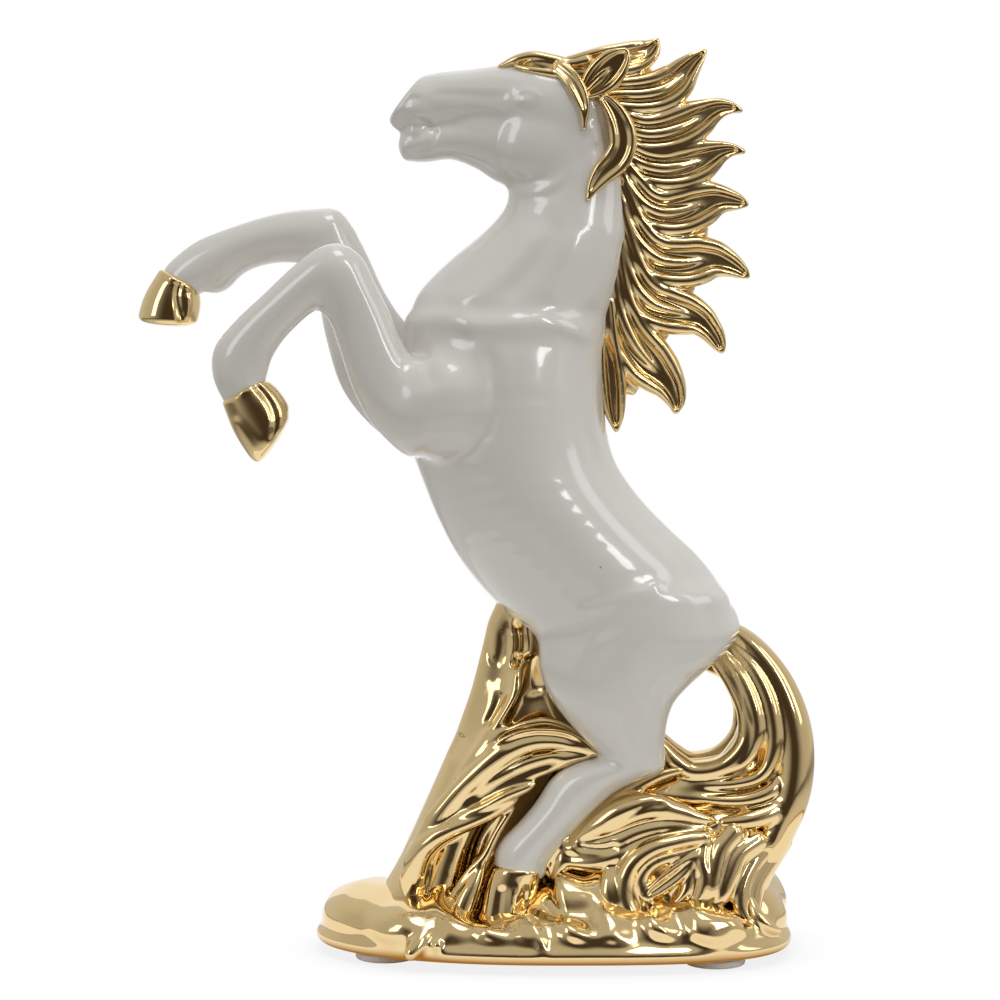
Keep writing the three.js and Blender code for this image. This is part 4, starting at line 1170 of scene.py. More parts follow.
@dataclass
class HeadHair:
    """The forelock with a lock down each temple, the ears and the locks behind the cheeks."""

    voxel: float = 0.4
    forelock: Rows = (
        (9, 291.4, 1.4, 3.6), (16, 292.4, 3, 6), (22, 292.2, 4.2, 8), (30, 290.2, 4.6, 9), (38, 289, 5.5, 9))
    wave: Rows = (
        (8.6, 4, 292, 0.8), (14.4, 5, 294.3, 1.7), (20.4, 5.4, 295.4, 2), (27, 6, 294.2, 2), (33, 6.6, 292.8, 2.2),
        (39, 7, 293.8, 2.4))
    lower: Rows = ((14, 7, 292, 0.8), (19, 9, 290.6, 1.2), (25, 10, 289.6, 1.5), (30, 10.4, 288.8, 1.8))
    temple: Rows = (
        (29, 9, 291.6, 2.6), (33, 11.4, 287.6, 3), (36, 13, 282.4, 2.8), (37.6, 13.8, 277, 1.8),
        (37.6, 14.2, 270.6, 0.6))
    cheek: Rows = (
        (44, 11.4, 281, 1.8), (47.8, 12, 276.3, 3.5), (50.4, 12.2, 270.4, 4.6), (50.8, 12.4, 264.4, 4.8),
        (48.4, 12.8, 259.4, 4.8), (44.2, 13.6, 255.2, 4), (41, 14.6, 250.8, 2.4), (38.9, 15.2, 246.4, 0.7))
    ear: Rows = (
        (37.8, 10.5, 282.4, 2.4), (40.8, 11, 285.2, 5), (44.2, 11.6, 288.4, 6.2), (47.8, 12.4, 292.2, 5.6),
        (50.4, 12.8, 295, 3.6), (52, 13, 297, 1.2))
    wave_blend: float = 0.8
    lock_blend: float = 0.6
    cheek_blend: float = 0.7
    ear_blend: float = 0.5

    def build(self, gold: bpy.types.Material) -> list[bpy.types.Object]:
        """Builds the forelock in one piece, and then each side's cheek lock and ear.

        Args:
            gold: the gilded finish.

        Returns:
            The five pieces.
        """
        clay = Clay((2, -20, 262), (46, 20, 302), self.voxel, reach=3.0)
        clay.add(limb(self.forelock, sides=40), 0)
        for side in BOTH_SIDES:
            clay.add(ridge(self.wave, side, 1.3), self.wave_blend)
            clay.add(ridge(self.lower, side, 1.0), self.lock_blend)
            for part in flame(self.temple, side, (3, 1.2), 1.0, 0.34):
                clay.add(part, self.lock_blend)
        made = [finish_gilt(clay, "gilded_forelock", ["forelock"], gold)]
        for side in BOTH_SIDES:
            word = side.name.lower()
            low, high = sorted((side.value * 4, side.value * 24))
            clay = Clay((30, low, 238), (62, high, 288), self.voxel, reach=3.0)
            for part in flame(self.cheek, side, (4, 1.4), 1.2, 0.34):
                clay.add(part, self.cheek_blend)
            made.append(finish_gilt(clay, f"{word}_cheek_lock_gilt", [f"{word}_cheek_lock"], gold))
            clay = Clay((30, low, 272), (62, high, 304), self.voxel, reach=3.0)
            for part in flame(self.ear, side, (3.4, 1.6), 2.0, 0.24, 1):
                clay.add(part, self.ear_blend)
            made.append(finish_gilt(clay, f"{word}_ear_gilt", [f"{word}_ear"], gold))
        return made


@dataclass
class Tail:
    """The tail: a thick sweep of strands from the croup to the rock, with some that turn forward to the hocks."""

    voxel: float = 0.65
    core: Rows = (
        (84.6, 89.6, 9, 6.4), (93.2, 85.2, 9.1, 7.5), (98.9, 77.6, 10, 9), (102.6, 68, 10.2, 10), (102.6, 56, 11.8, 11),
        (98, 43, 14.5, 12.5), (93, 30.5, 16, 14), (88.5, 18, 16, 15), (84, 5, 15, 16))
    web: Rows = ((96, 45, 9, 14.4), (84, 42, 8.4, 15.2), (72, 41.6, 7.6, 15.2), (62, 42, 5.6, 13))
    foot: Rows = ((104, 36, 7, 14.6), (92, 31, 8.4, 17.6), (80, 29, 7.6, 17.6))
    joint: Rows = ((97, 38, 6, 14.6), (84, 37.6, 6.4, 16.6), (70, 39, 5.6, 16.6), (58, 41, 3.6, 14.6))
    outer: Rows = (
        (90, 3, 96.5, 2.6), (97.5, 4, 89.6, 4.3), (105.1, 5, 79, 5.7), (110, 6.5, 66, 6.7), (111.6, 8, 53, 7.1),
        (110.1, 10, 40, 7.1), (105.3, 11.5, 27, 6.6), (99, 12.5, 14, 6), (95.8, 13, 4, 5))
    strands: Sequence[Rows] = (
        ((90, 5, 91, 1.4), (96.4, 8, 84, 2.6), (101.6, 10.4, 74, 3.2), (104, 12, 63, 3.4), (103.4, 13, 53.6, 3.2),
         (99.4, 14, 46.6, 2.6), (91, 14.4, 43.8, 2.2), (80, 13.8, 43.2, 1.6), (71, 12.4, 43.8, 0.9)),
        ((87, 6, 88, 1.6), (92.6, 9, 80.6, 2.8), (96.6, 11.4, 71, 3.4), (98, 13, 61.4, 3.2), (95, 13.8, 53, 2.4),
         (88.6, 13.8, 48.8, 1.8), (80, 13, 47.4, 1)),
        ((84.6, 5.4, 86, 2.4), (90.4, 8.4, 77.6, 3), (94.4, 10.6, 68, 3.2), (94, 11.8, 57.6, 3.6),
         (87, 11.8, 49.6, 3.8), (76.4, 10.8, 47.4, 3.9), (70, 10, 50.8, 3.9), (65, 9.2, 56.4, 2.8)),
        ((106.4, 11.6, 47, 2), (103, 14.6, 41.4, 2.8), (94.6, 16, 38.4, 2.6), (84, 16, 38.2, 2), (74, 14.6, 39.4, 1)),
        ((109, 12, 40, 2.4), (104, 15.4, 34.4, 3.6), (95, 18, 31.6, 3.6), (86, 19, 30.8, 2.2)),
        ((107.6, 12, 29, 2.6), (101, 16, 23.4, 3.4), (95, 18.6, 19.6, 2.8)))
    web_blend: float = 2.0
    strand_blend: float = 0.8

    def build(self, gold: bpy.types.Material) -> bpy.types.Object:
        """Builds the tail from its core, the webs that turn forward and the strands.

        Args:
            gold: the gilded finish.

        Returns:
            The gilded tail.
        """
        clay = Clay((56, -32, -8), (126, 32, 108), self.voxel, reach=3.5)
        clay.add(limb(self.core, sides=56), 0)
        clay.add(limb(self.web, sides=40), self.web_blend)
        clay.add(limb(self.foot, sides=40), self.web_blend)
        clay.add(limb(self.joint, sides=40), self.web_blend)
        for side in BOTH_SIDES:
            clay.add(ridge(self.outer, side, 1.2), self.strand_blend)
            for rows in self.strands:
                clay.add(ridge(rows, side, 1.15), self.strand_blend)
        return finish_gilt(clay, "gilded_tail", ["tail"], gold)


# Base and its plants


@dataclass
class Trunk:
    """The trunk that props the belly, with fluted bark and the leaves that wrap its foot."""

    voxel: float = 0.65
    trunk: Rows = (
        (7, 104.5, 20, 104, 4.6), (4.6, 99, 21.4, 98, 4.9), (3.1, 92.6, 20.8, 91, 5.2), (1.2, 84.8, 19.2, 84, 5.4),
        (-1.4, 75, 15.8, 75.4, 5.8), (-4.4, 66.2, 11, 66.6, 6.2), (-7.2, 58.5, 6, 60, 6.6),
        (-10.4, 51.5, 1.6, 53.4, 7.2),
        (-14.2, 42.7, -3, 45, 8.4), (-18.6, 32.9, -7.6, 35.4, 10.2), (-25.4, 18.1, -12.6, 20.5, 14),
        (-33.6, 3, -15, 3, 18))
    near_edge: Rows = (
        (14, 104.5, 20.6, 104, 10), (14.6, 99, 21.8, 98, 11), (14, 92.6, 21.2, 91, 11.6), (12.4, 84.8, 19.6, 84, 12.4),
        (9.4, 75, 16.2, 75.4, 13.2), (4.6, 66.2, 11.4, 66.6, 13.8), (-0.2, 58.5, 6.4, 60, 14.2),
        (-4.4, 51.5, 2, 53.4, 14.4), (-9, 42.7, -2.8, 45, 14.6), (-14, 32.9, -7.4, 35.4, 14.8),
        (-19.6, 20, -12, 22, 14.6))
    backing: Rows = (
        (16, 98, 25, 98, 5.9), (15, 84, 27, 84, 5.9), (10, 72, 33, 70, 5.9), (0, 56, 37, 57, 5.9),
        (-8, 34, 22, 32, 5.9), (-14, 8, 14, 8, 5.9))
    filler: Rows = (
        (-1, 47, 13, 46, 13.6), (-7, 39, 11.4, 38, 14.6), (-11.6, 29, 3.6, 28, 16), (-15.6, 18.6, -0.6, 18, 17),
        (-20, 6, -2.4, 6, 18), (-22, 0, -2, 0, 18))
    leaves: Sequence[Rows] = (
        ((-19, 14, 20, 4.2), (-14, 14.8, 29.4, 4.2), (-7.4, 15.4, 38.4, 4.2), (-0.8, 16, 45.4, 4.4),
         (5.4, 16.4, 51, 4.5), (11.6, 16.6, 55.4, 4.3), (18.4, 16.8, 58.4, 3.9), (25, 17.2, 59.4, 3.5),
         (31.6, 17.6, 58.8, 2.9), (37.8, 18.2, 56.8, 2), (43.3, 18.6, 54.2, 0.8)),
        ((-7.8, 16.8, 33.2, 1), (-0.5, 17, 38.4, 2.8), (6.4, 17.4, 43, 3.8), (12.9, 17.6, 46.6, 4.1),
         (19.8, 17.8, 49.8, 4.2), (27.1, 18, 52, 3.6), (34.7, 18.4, 53.6, 2.1), (40.5, 18.8, 54, 0.8)))
    stems: Sequence[Rows] = (
        ((7.8, 13, 60.6, 0.8), (14, 13.6, 63.4, 1.4), (19.2, 14, 64.8, 1.8), (25, 14.6, 65.5, 1.8),
         (31.2, 15.4, 64, 1.5), (37.4, 16.4, 60.8, 0.8)),
        ((4.3, 17, 56.2, 0.6), (8.8, 17.6, 59.3, 0.9), (14, 18, 61.7, 1), (19.2, 18.4, 63, 1), (24.3, 18.8, 63.2, 1),
         (29.5, 19, 62.8, 1), (34.7, 19, 61.2, 0.9), (39.2, 19, 58.4, 0.8), (43.3, 19, 54.4, 0.6)),
        ((-11.9, 17.4, 29.8, 0.8), (-4, 18.2, 32.9, 1.7), (4.3, 19, 37.2, 2.4), (11.2, 19.4, 40.7, 2.4),
         (17.4, 19.4, 43.1, 1.9), (20.9, 19.4, 44.8, 0.9)),
        ((-23, 12, -4, 5), (-22, 13, 6, 5), (-19.6, 15, 18, 4.8), (-14.9, 17, 24.2, 4), (-8.5, 18.2, 28, 3.1),
         (-1.6, 18.8, 30.9, 2.6), (5.4, 19, 34, 2.2), (11.2, 19.2, 37.2, 1.6), (15, 19.2, 39.3, 0.8)),
        ((-12, 21, -3, 1.4), (-8.8, 21, 3, 1.4), (-4.6, 21, 9.4, 1.9), (-0.4, 20.6, 14.8, 2), (3.2, 20.2, 18.8, 1.8),
         (5.4, 19.8, 22.9, 1.6), (7.8, 19.4, 27.7, 1.5), (11.2, 19, 33, 1.2), (14.3, 18.6, 36.5, 0.6)),
        ((2.6, 19.8, 17.6, 1.6), (0.2, 21, 11.7, 3), (-2.6, 22.6, 6, 3.8), (-5, 24.4, 0, 4)),
        ((3, 13.8, 52, 0.8), (-3.4, 14.6, 45.4, 1.5), (-10.4, 15, 38, 1.8), (-17, 15.2, 31.6, 0.9)),
        ((11, 11.4, 62.6, 2), (5.6, 12.2, 58, 3.2), (0.6, 12.8, 52.4, 3.2), (-5, 13.4, 46, 2)))
    hollows: Sequence[Line] = (
        (((-4, 36), (2, 40.2), (8, 44), (13.4, 47), (19.8, 49.8), (26, 51.6), (32, 52.6)), 1.7, 2.3),
        (((8.6, 56.4), (14, 59.2), (20, 60.8), (25.4, 61), (31, 60.2), (36.4, 57.9)), 1.0, 0.8),
        (((-6.6, 7.4), (-2.6, 12.4), (1.4, 17.4)), 0.9, 0.6))
    flutes: Sequence[Line] = (
        (((4.9, 97.4), (4.2, 92.2), (5.3, 87), (6.7, 83.8)), 0.5, 0.8),
        (((9.1, 97.4), (9.4, 91.2), (8.4, 86.3), (6.9, 83.6)), 0.5, 0.8),
        (((14.3, 100.5), (15.7, 94), (15.3, 88.8), (13.4, 82)), 1.7, 1.4),
        (((10.8, 100), (11.5, 92.2), (10.8, 84.6)), 0.5, 0.7), (((12.6, 101), (13.1, 92.2), (12, 82)), -0.5, 0.8),
        (((20.4, 98), (19.1, 88.8), (17.4, 80.1), (13.9, 72.8), (8.75, 63.4), (4.2, 57.4)), -1.2, 1.3),
        (((17.8, 96), (16.4, 85.3), (12.9, 76.6), (7.7, 67.9), (2.9, 60.3)), 0.8, 1.5),
        (((7.7, 80), (5.4, 72.9), (1.5, 64.2), (-2.6, 56.5), (-7.8, 48.5)), -0.5, 2.6),
        (((17.6, 89), (19.6, 81), (22, 73)), 2.2, 3.2), (((9.6, 76), (7.4, 69), (3.6, 62)), 0.4, 1.8),
        (((-4.2, 60), (-6.2, 55.6), (-8.4, 50.6)), 1.2, 2.2))
    edge_blend: float = 6.0
    fill_blend: float = 2.0
    leaf_blend: float = 0.6
    stem_blend: float = 0.7

    def build(self, gold: bpy.types.Material) -> bpy.types.Object:
        """Builds the trunk with its bark, and then the leaves and stems of each side.

        Args:
            gold: the gilded finish.

        Returns:
            The gilded trunk.
        """
        clay = Clay((-42, -30, -12), (50, 30, 112), self.voxel, reach=6.0)
        clay.add(skin(profile_rail(self.trunk), sides=56), 0)
        clay.add(skin(profile_rail(self.near_edge), sides=48), self.edge_blend)
        clay.add(skin(profile_rail(self.backing), sides=40), self.fill_blend)
        clay.add(skin(profile_rail(self.filler), sides=48, fullness=2.6), self.fill_blend)
        for path, depth, width in self.flutes:
            clay.relief(path, depth, width, inner=4.0)
        for side in BOTH_SIDES:
            for rows in self.leaves:
                clay.add(ridge(rows, side, 0.8), self.leaf_blend)
            for rows in self.stems:
                clay.add(ridge(rows, side, 1.1), self.stem_blend)
        for path, depth, width in self.hollows:
            clay.relief(path, depth, width)
        return finish_gilt(clay, "gilded_trunk", ["trunk"], gold)


@dataclass
class Scrolls:
    """The leaf scrolls behind the legs: hollow leaves above a big curl, and stems that fall to the rock."""

    voxel: float = 0.65
    core: Rows = ((94, 24, 13, 15), (80, 26, 13, 17), (66, 22, 12, 19), (52, 14, 11, 19), (38, 6, 9, 17))
    leaves: Sequence[Rows] = (
        ((30.8, 17, 19.6, 1.6), (35.6, 17.6, 27.8, 2.4), (42.5, 17.6, 33.8, 2.8), (50.1, 17, 39.4, 2.8),
         (57, 16, 43.2, 2.6), (64.5, 15, 46.8, 2.2), (72, 14, 48.6, 1.4)),
        ((33.6, 19, 23.4, 1.4), (39.8, 20, 27.6, 3.6), (46.6, 20.4, 31.8, 5.2), (54.2, 20.4, 35.4, 5.6),
         (62.1, 20, 36.4, 5.2), (70.7, 20, 34.6, 4), (77.6, 20.4, 32.8, 2.6), (83, 20.8, 32, 1)),
        ((54, 18.6, 31, 2), (62, 19.2, 32, 3.8), (71, 19.4, 31.8, 3.8), (80, 19.4, 31.2, 1.8)))
    hollows: Sequence[Line] = (
        (((34, 22.6), (40.4, 22.6), (45.3, 23), (50, 24.6)), 1.8, 1.1),
        (((44, 29), (52, 33.6), (60, 37.6), (67, 38)), 0.7, 1.0))
    bands: Sequence[Rows] = (
        ((30, 18, 22, 1.6), (39.7, 20, 21.7, 2.4), (47.2, 21, 23.4, 2.4), (56.9, 21.6, 28, 1.9),
         (67.2, 21.6, 30, 1.6), (79.2, 21, 29.2, 1)),
        ((29, 18, 17.4, 1.6), (41.4, 20.6, 17.6, 2.5), (51.7, 22, 20.8, 2.4), (62, 22.6, 24.9, 1.9),
         (74, 22.6, 26.7, 1.6), (79.5, 22, 27.5, 1)),
        ((80.2, 22.6, 26.6, 1.6), (70.6, 24, 25.2, 2), (60.3, 25, 22.3, 2.3), (53.4, 25.6, 16, 2.6),
         (51.4, 26.6, 7.2, 2.7), (54.8, 28, -0.7, 2.7), (62, 29.6, -5, 2.4), (70.6, 30, -2.4, 1.6)),
        ((77.5, 22.6, 22, 1.2), (68.9, 24, 20.4, 1.6), (60.6, 25.2, 17, 1.8), (57.4, 26, 10.6, 1.8),
         (60.6, 27, 3.7, 1.6), (66.5, 27.6, 0.6, 1)),
        ((76.8, 23, 21, 1.1), (74.7, 24.6, 14.1, 1.6), (72.3, 26, 7.2, 1.6), (67.8, 27, 3, 0.8)),
        ((80.2, 22, 26.8, 1.3), (78.5, 24, 19.2, 2), (79.6, 25.6, 12.4, 2.1), (77.5, 27, 6.2, 1.6),
         (74, 28, 3.2, 0.8)),
        ((89.5, 19, 27.5, 2.8), (85, 21.4, 22, 2.7), (83, 24, 15.1, 2.4), (81.6, 26, 8.2, 2), (78.5, 27.6, 3.4, 0.9)),
        ((98, 17, 24.4, 2.6), (91.2, 20, 19.9, 2.7), (87.8, 23, 13, 2.5), (85, 25.6, 6.2, 2), (81.6, 27.4, 3, 0.9)),
        ((103, 14, 22.7, 2.2), (96.4, 18, 16.5, 2.4), (92.6, 21.4, 9.6, 2.4), (92, 24, 2.7, 2.2),
         (94.7, 26, -3.2, 1.6)),
        ((107, 10, 23, 2.6), (101.5, 14, 16, 2.8), (96.8, 18, 8.9, 2.8), (95.6, 21, 1, 2.4)),
        ((27, 16, 10.5, 1.5), (25, 17, 17.2, 2.2), (28, 18, 22.9, 1.9), (31.6, 18.6, 25.8, 0.8)),
        ((31.6, 18, 25, 0.8), (30.6, 19, 17.8, 1.8), (28.6, 19.6, 11, 1.4)))
    curl_leaves: Sequence[Rows] = (
        ((58, 25.4, 6.4, 1.2), (63.7, 25.6, 10.5, 3), (70.4, 25, 15.4, 3), (76, 24, 20.6, 1)),)
    drop: Rows = ((47.6, 24, 18, 1.4), (46.8, 26, 11.4, 4), (47.2, 27.6, 5.4, 4.6), (50, 29, 0, 3), (53, 30, -3, 1.6))
    swell: float = 1.6
    leaf_blend: float = 0.8
    curl_blend: float = 0.7
    fills: Sequence[Lump] = (Lump((67, 17, 10.4), (16, 8.6, 15), 2.0), Lump((86, 15, 22), (15, 7, 13), 2.0))

    def build(self, gold: bpy.types.Material) -> bpy.types.Object:
        """Builds the scrolls from a core with the leaves, the curl and the stems of each side.

        Args:
            gold: the gilded finish.

        Returns:
            The gilded scrolls.
        """
        clay = Clay((20, -38, -12), (114, 38, 56), self.voxel, reach=3.5)
        clay.add(limb(self.core, sides=48), 0)
        for side in BOTH_SIDES:
            for lump in self.fills:
                lump.add_to(clay, side)
            clay.add(ridge(self.drop, side, 0.9), self.leaf_blend)
            for rows in self.leaves:
                clay.add(ridge(rows, side, 0.9), self.leaf_blend)
            for rows in self.curl_leaves:
                for part in flame(rows, side, (4.8, 3), 1.6, 0.36):
                    clay.add(part, self.curl_blend)
            for rows in self.bands:
                fuller = [(x, out, z, deep * self.swell) for x, out, z, deep in rows]
                clay.add(ridge(fuller, side, 1.2), self.leaf_blend)
        for path, depth, width in self.hollows:
            clay.relief(path, depth, width)
        return finish_gilt(clay, "gilded_scrolls", ["rear_scrolls"], gold)


@dataclass
class RockBase:
    """The rocky base: a smooth oval rim with a weathered rock on it, boulders at its ends and roots down its sides."""

    voxel: float = 0.75
    length: float = 168.0
    depth: float = 93.0
    height: float = 14.0
    centre_x: float = 27.5
    boulder_blend: float = 2.5
    edge_blend: float = 4.5
    root_blend: float = 1.0
    facet_blend: float = 0.8
    wear: float = 1.2
    front_fullness: float = 2.1
    rear_fullness: float = 3.0
    rim_share: float = 0.35
    levels: Rows = (
        (0, 3.6), (0.03, 2), (0.1, 0.8), (0.22, 0), (0.32, 0.3), (0.4, 1.6), (0.47, 2.4), (0.6, 2.7), (0.72, 3.1),
        (0.8, 4), (0.88, 5.4), (0.95, 7.4), (1, 10))
    boulders: Rows = (
        (-34.2, 0, -4.4, 20, 27.4, 11.4), (-22, 22, -4.8, 16, 16, 9.6), (-22, -22, -4.8, 16, 16, 9.6),
        (100, 12, -2, 10, 17, 12), (98.4, -6, -2, 10, 17, 11), (66, 0, -3.6, 38, 36.5, 9.6))
    edges: Rows = (
        (-14, 17, -3, 12, 12, 8.6), (-6, 24, -6, 13, 14, 8.4), (22, 26, -7, 17, 15, 9),
        (34, 20.5, 0.6, 13.4, 13.6, 13.4), (43, 17, 3, 10, 12, 11.4), (47, 27, -4.6, 15, 14, 8.6),
        (62, 25, -4, 17, 15, 9.4), (81, 30, -3, 12.4, 12, 8.6))
    roots: Sequence[Rows] = (
        ((-11, 15, 5, 5), (-12.5, 23, 1, 5), (-15, 31, -3, 4.6), (-18.4, 37.5, -7, 3.8), (-22, 41.6, -10.6, 2.6)),
        ((-6, 22, 3, 3), (-7, 29, 0, 2.8), (-9.4, 35, -3.6, 2.4), (-13, 41, -7.8, 1.8)),
        ((54, 34, 0, 2), (58, 38, -5, 2), (60.6, 41, -8.6, 1.6)),
        ((70, 34, 1, 1.6), (67, 38, -4, 1.8), (64, 41, -8.4, 1.4)),
        ((20, 40, -1, 1.6), (22.4, 43, -5.4, 1.8), (23.4, 44.6, -8.6, 1.4)))
    facets: Sequence[Rows] = (
        ((95, 22, 7, 1.4), (96.6, 26, 1.4, 2.4), (101, 28, -3.4, 2.2), (105.6, 24, -6, 1.4)),)

    def _slab(self) -> Skin:
        """The slab's skin: at each level a superellipse drawn in by the level's inset, waved like worn rock.

        The rim, up to rim_share of the height, is smooth. Above it the edge swells and sinks by two sines of the angle.

        Returns:
            The skin.
        """
        turn = np.linspace(0, 2 * np.pi, 360, endpoint=False)
        c, s = np.cos(turn), np.sin(turn)
        power = 2 / np.where(c < 0, self.front_fullness, self.rear_fullness)
        share, inset = np.array(self.levels, float).T[:, :, None]
        rock = np.clip((share - self.rim_share) * 6, 0, 1)
        swell = 1 + rock * (0.011 * np.sin(7 * turn + 0.6) + 0.008 * np.sin(13 * turn + 2) - 0.008)
        x = (self.length / 2 - inset) * np.sign(c) * np.abs(c) ** power * swell + self.centre_x
        y = (self.depth / 2 - inset) * np.sign(s) * np.abs(s) ** power * swell
        z = (share - 1) * self.height + 0 * turn
        points = np.stack([x, y, z], -1).reshape(-1, 3)
        poles = [[self.centre_x, 0, -self.height], [self.centre_x, 0, 0]]
        return Skin(np.concatenate([points, poles]), *ring_faces(*x.shape))

    def _weather(self, x: np.ndarray, y: np.ndarray, z: np.ndarray) -> np.ndarray:
        """How far the rock is worn in.

        It is the depth of wear times a sum of sines of x, y and z. It fades to nothing towards the foot of the wall
        and to a fifth on the mound at the front.

        Args:
            x: the places along the base.
            y: the places across it.
            z: the heights.

        Returns:
            The distance at each place.
        """
        above = np.clip((z + 7.6) / 5.0, 0, 1)
        waves = (np.sin(0.21 * x + 1.1 * np.sin(0.13 * y) + 0.3 * z) * np.sin(0.19 * y + 0.5 * np.sin(0.17 * x) + 1)
                 + 0.6 * np.sin(0.43 * x - 0.2 * y + 0.35 * z + 1.7))
        mound = np.clip((x + 22.0) / 16.0, 0.2, 1)
        return self.wear * above * mound * waves

    def build(self, gold: bpy.types.Material) -> bpy.types.Object:
        """Builds the rock from the slab and the boulders, wears it in, and adds the roots and facets.

        Args:
            gold: the gilded finish.

        Returns:
            The gilded rock.
        """
        clay = Clay((-62, -52, -16), (118, 52, 18), self.voxel, reach=5.0)
        clay.add(self._slab(), 0)
        for x, y, z, *size in self.boulders:
            clay.add(egg((x, y, z), size), self.boulder_blend)
        for side in BOTH_SIDES:
            for x, out, z, *size in self.edges:
                Lump((x, out, z), size, self.edge_blend).add_to(clay, side)
        clay.ripple(self._weather)
        for side in BOTH_SIDES:
            for rows in self.roots:
                clay.add(ridge(rows, side, 1.0), self.root_blend)
            for rows in self.facets:
                clay.add(ridge(rows, side, 1.2), self.facet_blend)
        clay.level(-self.height)
        return finish_gilt(clay, "gilded_rock", ["base"], gold, 3)


@dataclass
class BumperPads:
    """The four clear bumpers, turned with a rounded lower edge and a low crown."""

    names: Sequence[str] = ("front_left_pad", "front_right_pad", "rear_left_pad", "rear_right_pad")
    edge: float = 0.8
    bevel: float = 0.15
    hub: float = 0.02
    sides: int = 64

    def build(self, rubber: bpy.types.Material) -> list[bpy.types.Object]:
        """Builds a turned pad in place of each pad node: a profile of radius and height carried round its axis.

        Args:
            rubber: the pads' finish.

        Returns:
            The four pads.
        """
        made = []
        for name in self.names:
            low, high = (np.array(corner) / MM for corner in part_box(name))
            radius, height = (high[0] - low[0]) / 2, high[2] - low[2]
            bend = np.linspace(0, np.pi / 2, 9)
            rim = np.stack([radius - self.edge + self.edge * np.sin(bend), self.edge - self.edge * np.cos(bend)], 1)
            inner = np.array([[self.hub, 0.0], [radius / 2, 0.0]])
            top = np.array([[radius, height - self.bevel], [radius - self.bevel, height], [radius / 2, height],
                            [self.hub, height]])
            profile = np.concatenate([inner, rim, top])
            turn = np.linspace(0, 2 * np.pi, self.sides, endpoint=False)
            points = np.stack([profile[:, :1] * np.cos(turn), profile[:, :1] * np.sin(turn),
                               profile[:, 1:] + 0 * turn], -1)
            points = points.reshape(-1, 3) + [*((low + high) / 2)[:2], low[2] - PAD_AND_BASE]
            j = np.arange(self.sides)
            k = (j + 1) % self.sides
            i = np.arange(len(profile) - 1)[:, None] * self.sides
            faces = np.stack([i + j, i + k, i + self.sides + k, i + self.sides + j], -1).reshape(-1, 4)
            half = self.sides // 2
            a = np.arange(half - 1)
            cap = np.stack([a, a + 1, self.sides - 2 - a, self.sides - 1 - a], 1)[:, ::-1]
            lid = cap[:, ::-1] + (len(profile) - 1) * self.sides
            made.append(make_piece(name.replace("pad", "bumper"), points, np.concatenate([faces, cap, lid]), rubber,
                                   [name]))
        return made


# Studio


@dataclass(frozen=True)
class SoftBox:
    """A rectangular soft box that faces the middle of the object: its place and size in metres, and its watts."""

    name: str
    place: Sequence[float]
    size: Sequence[float]
    watts: float


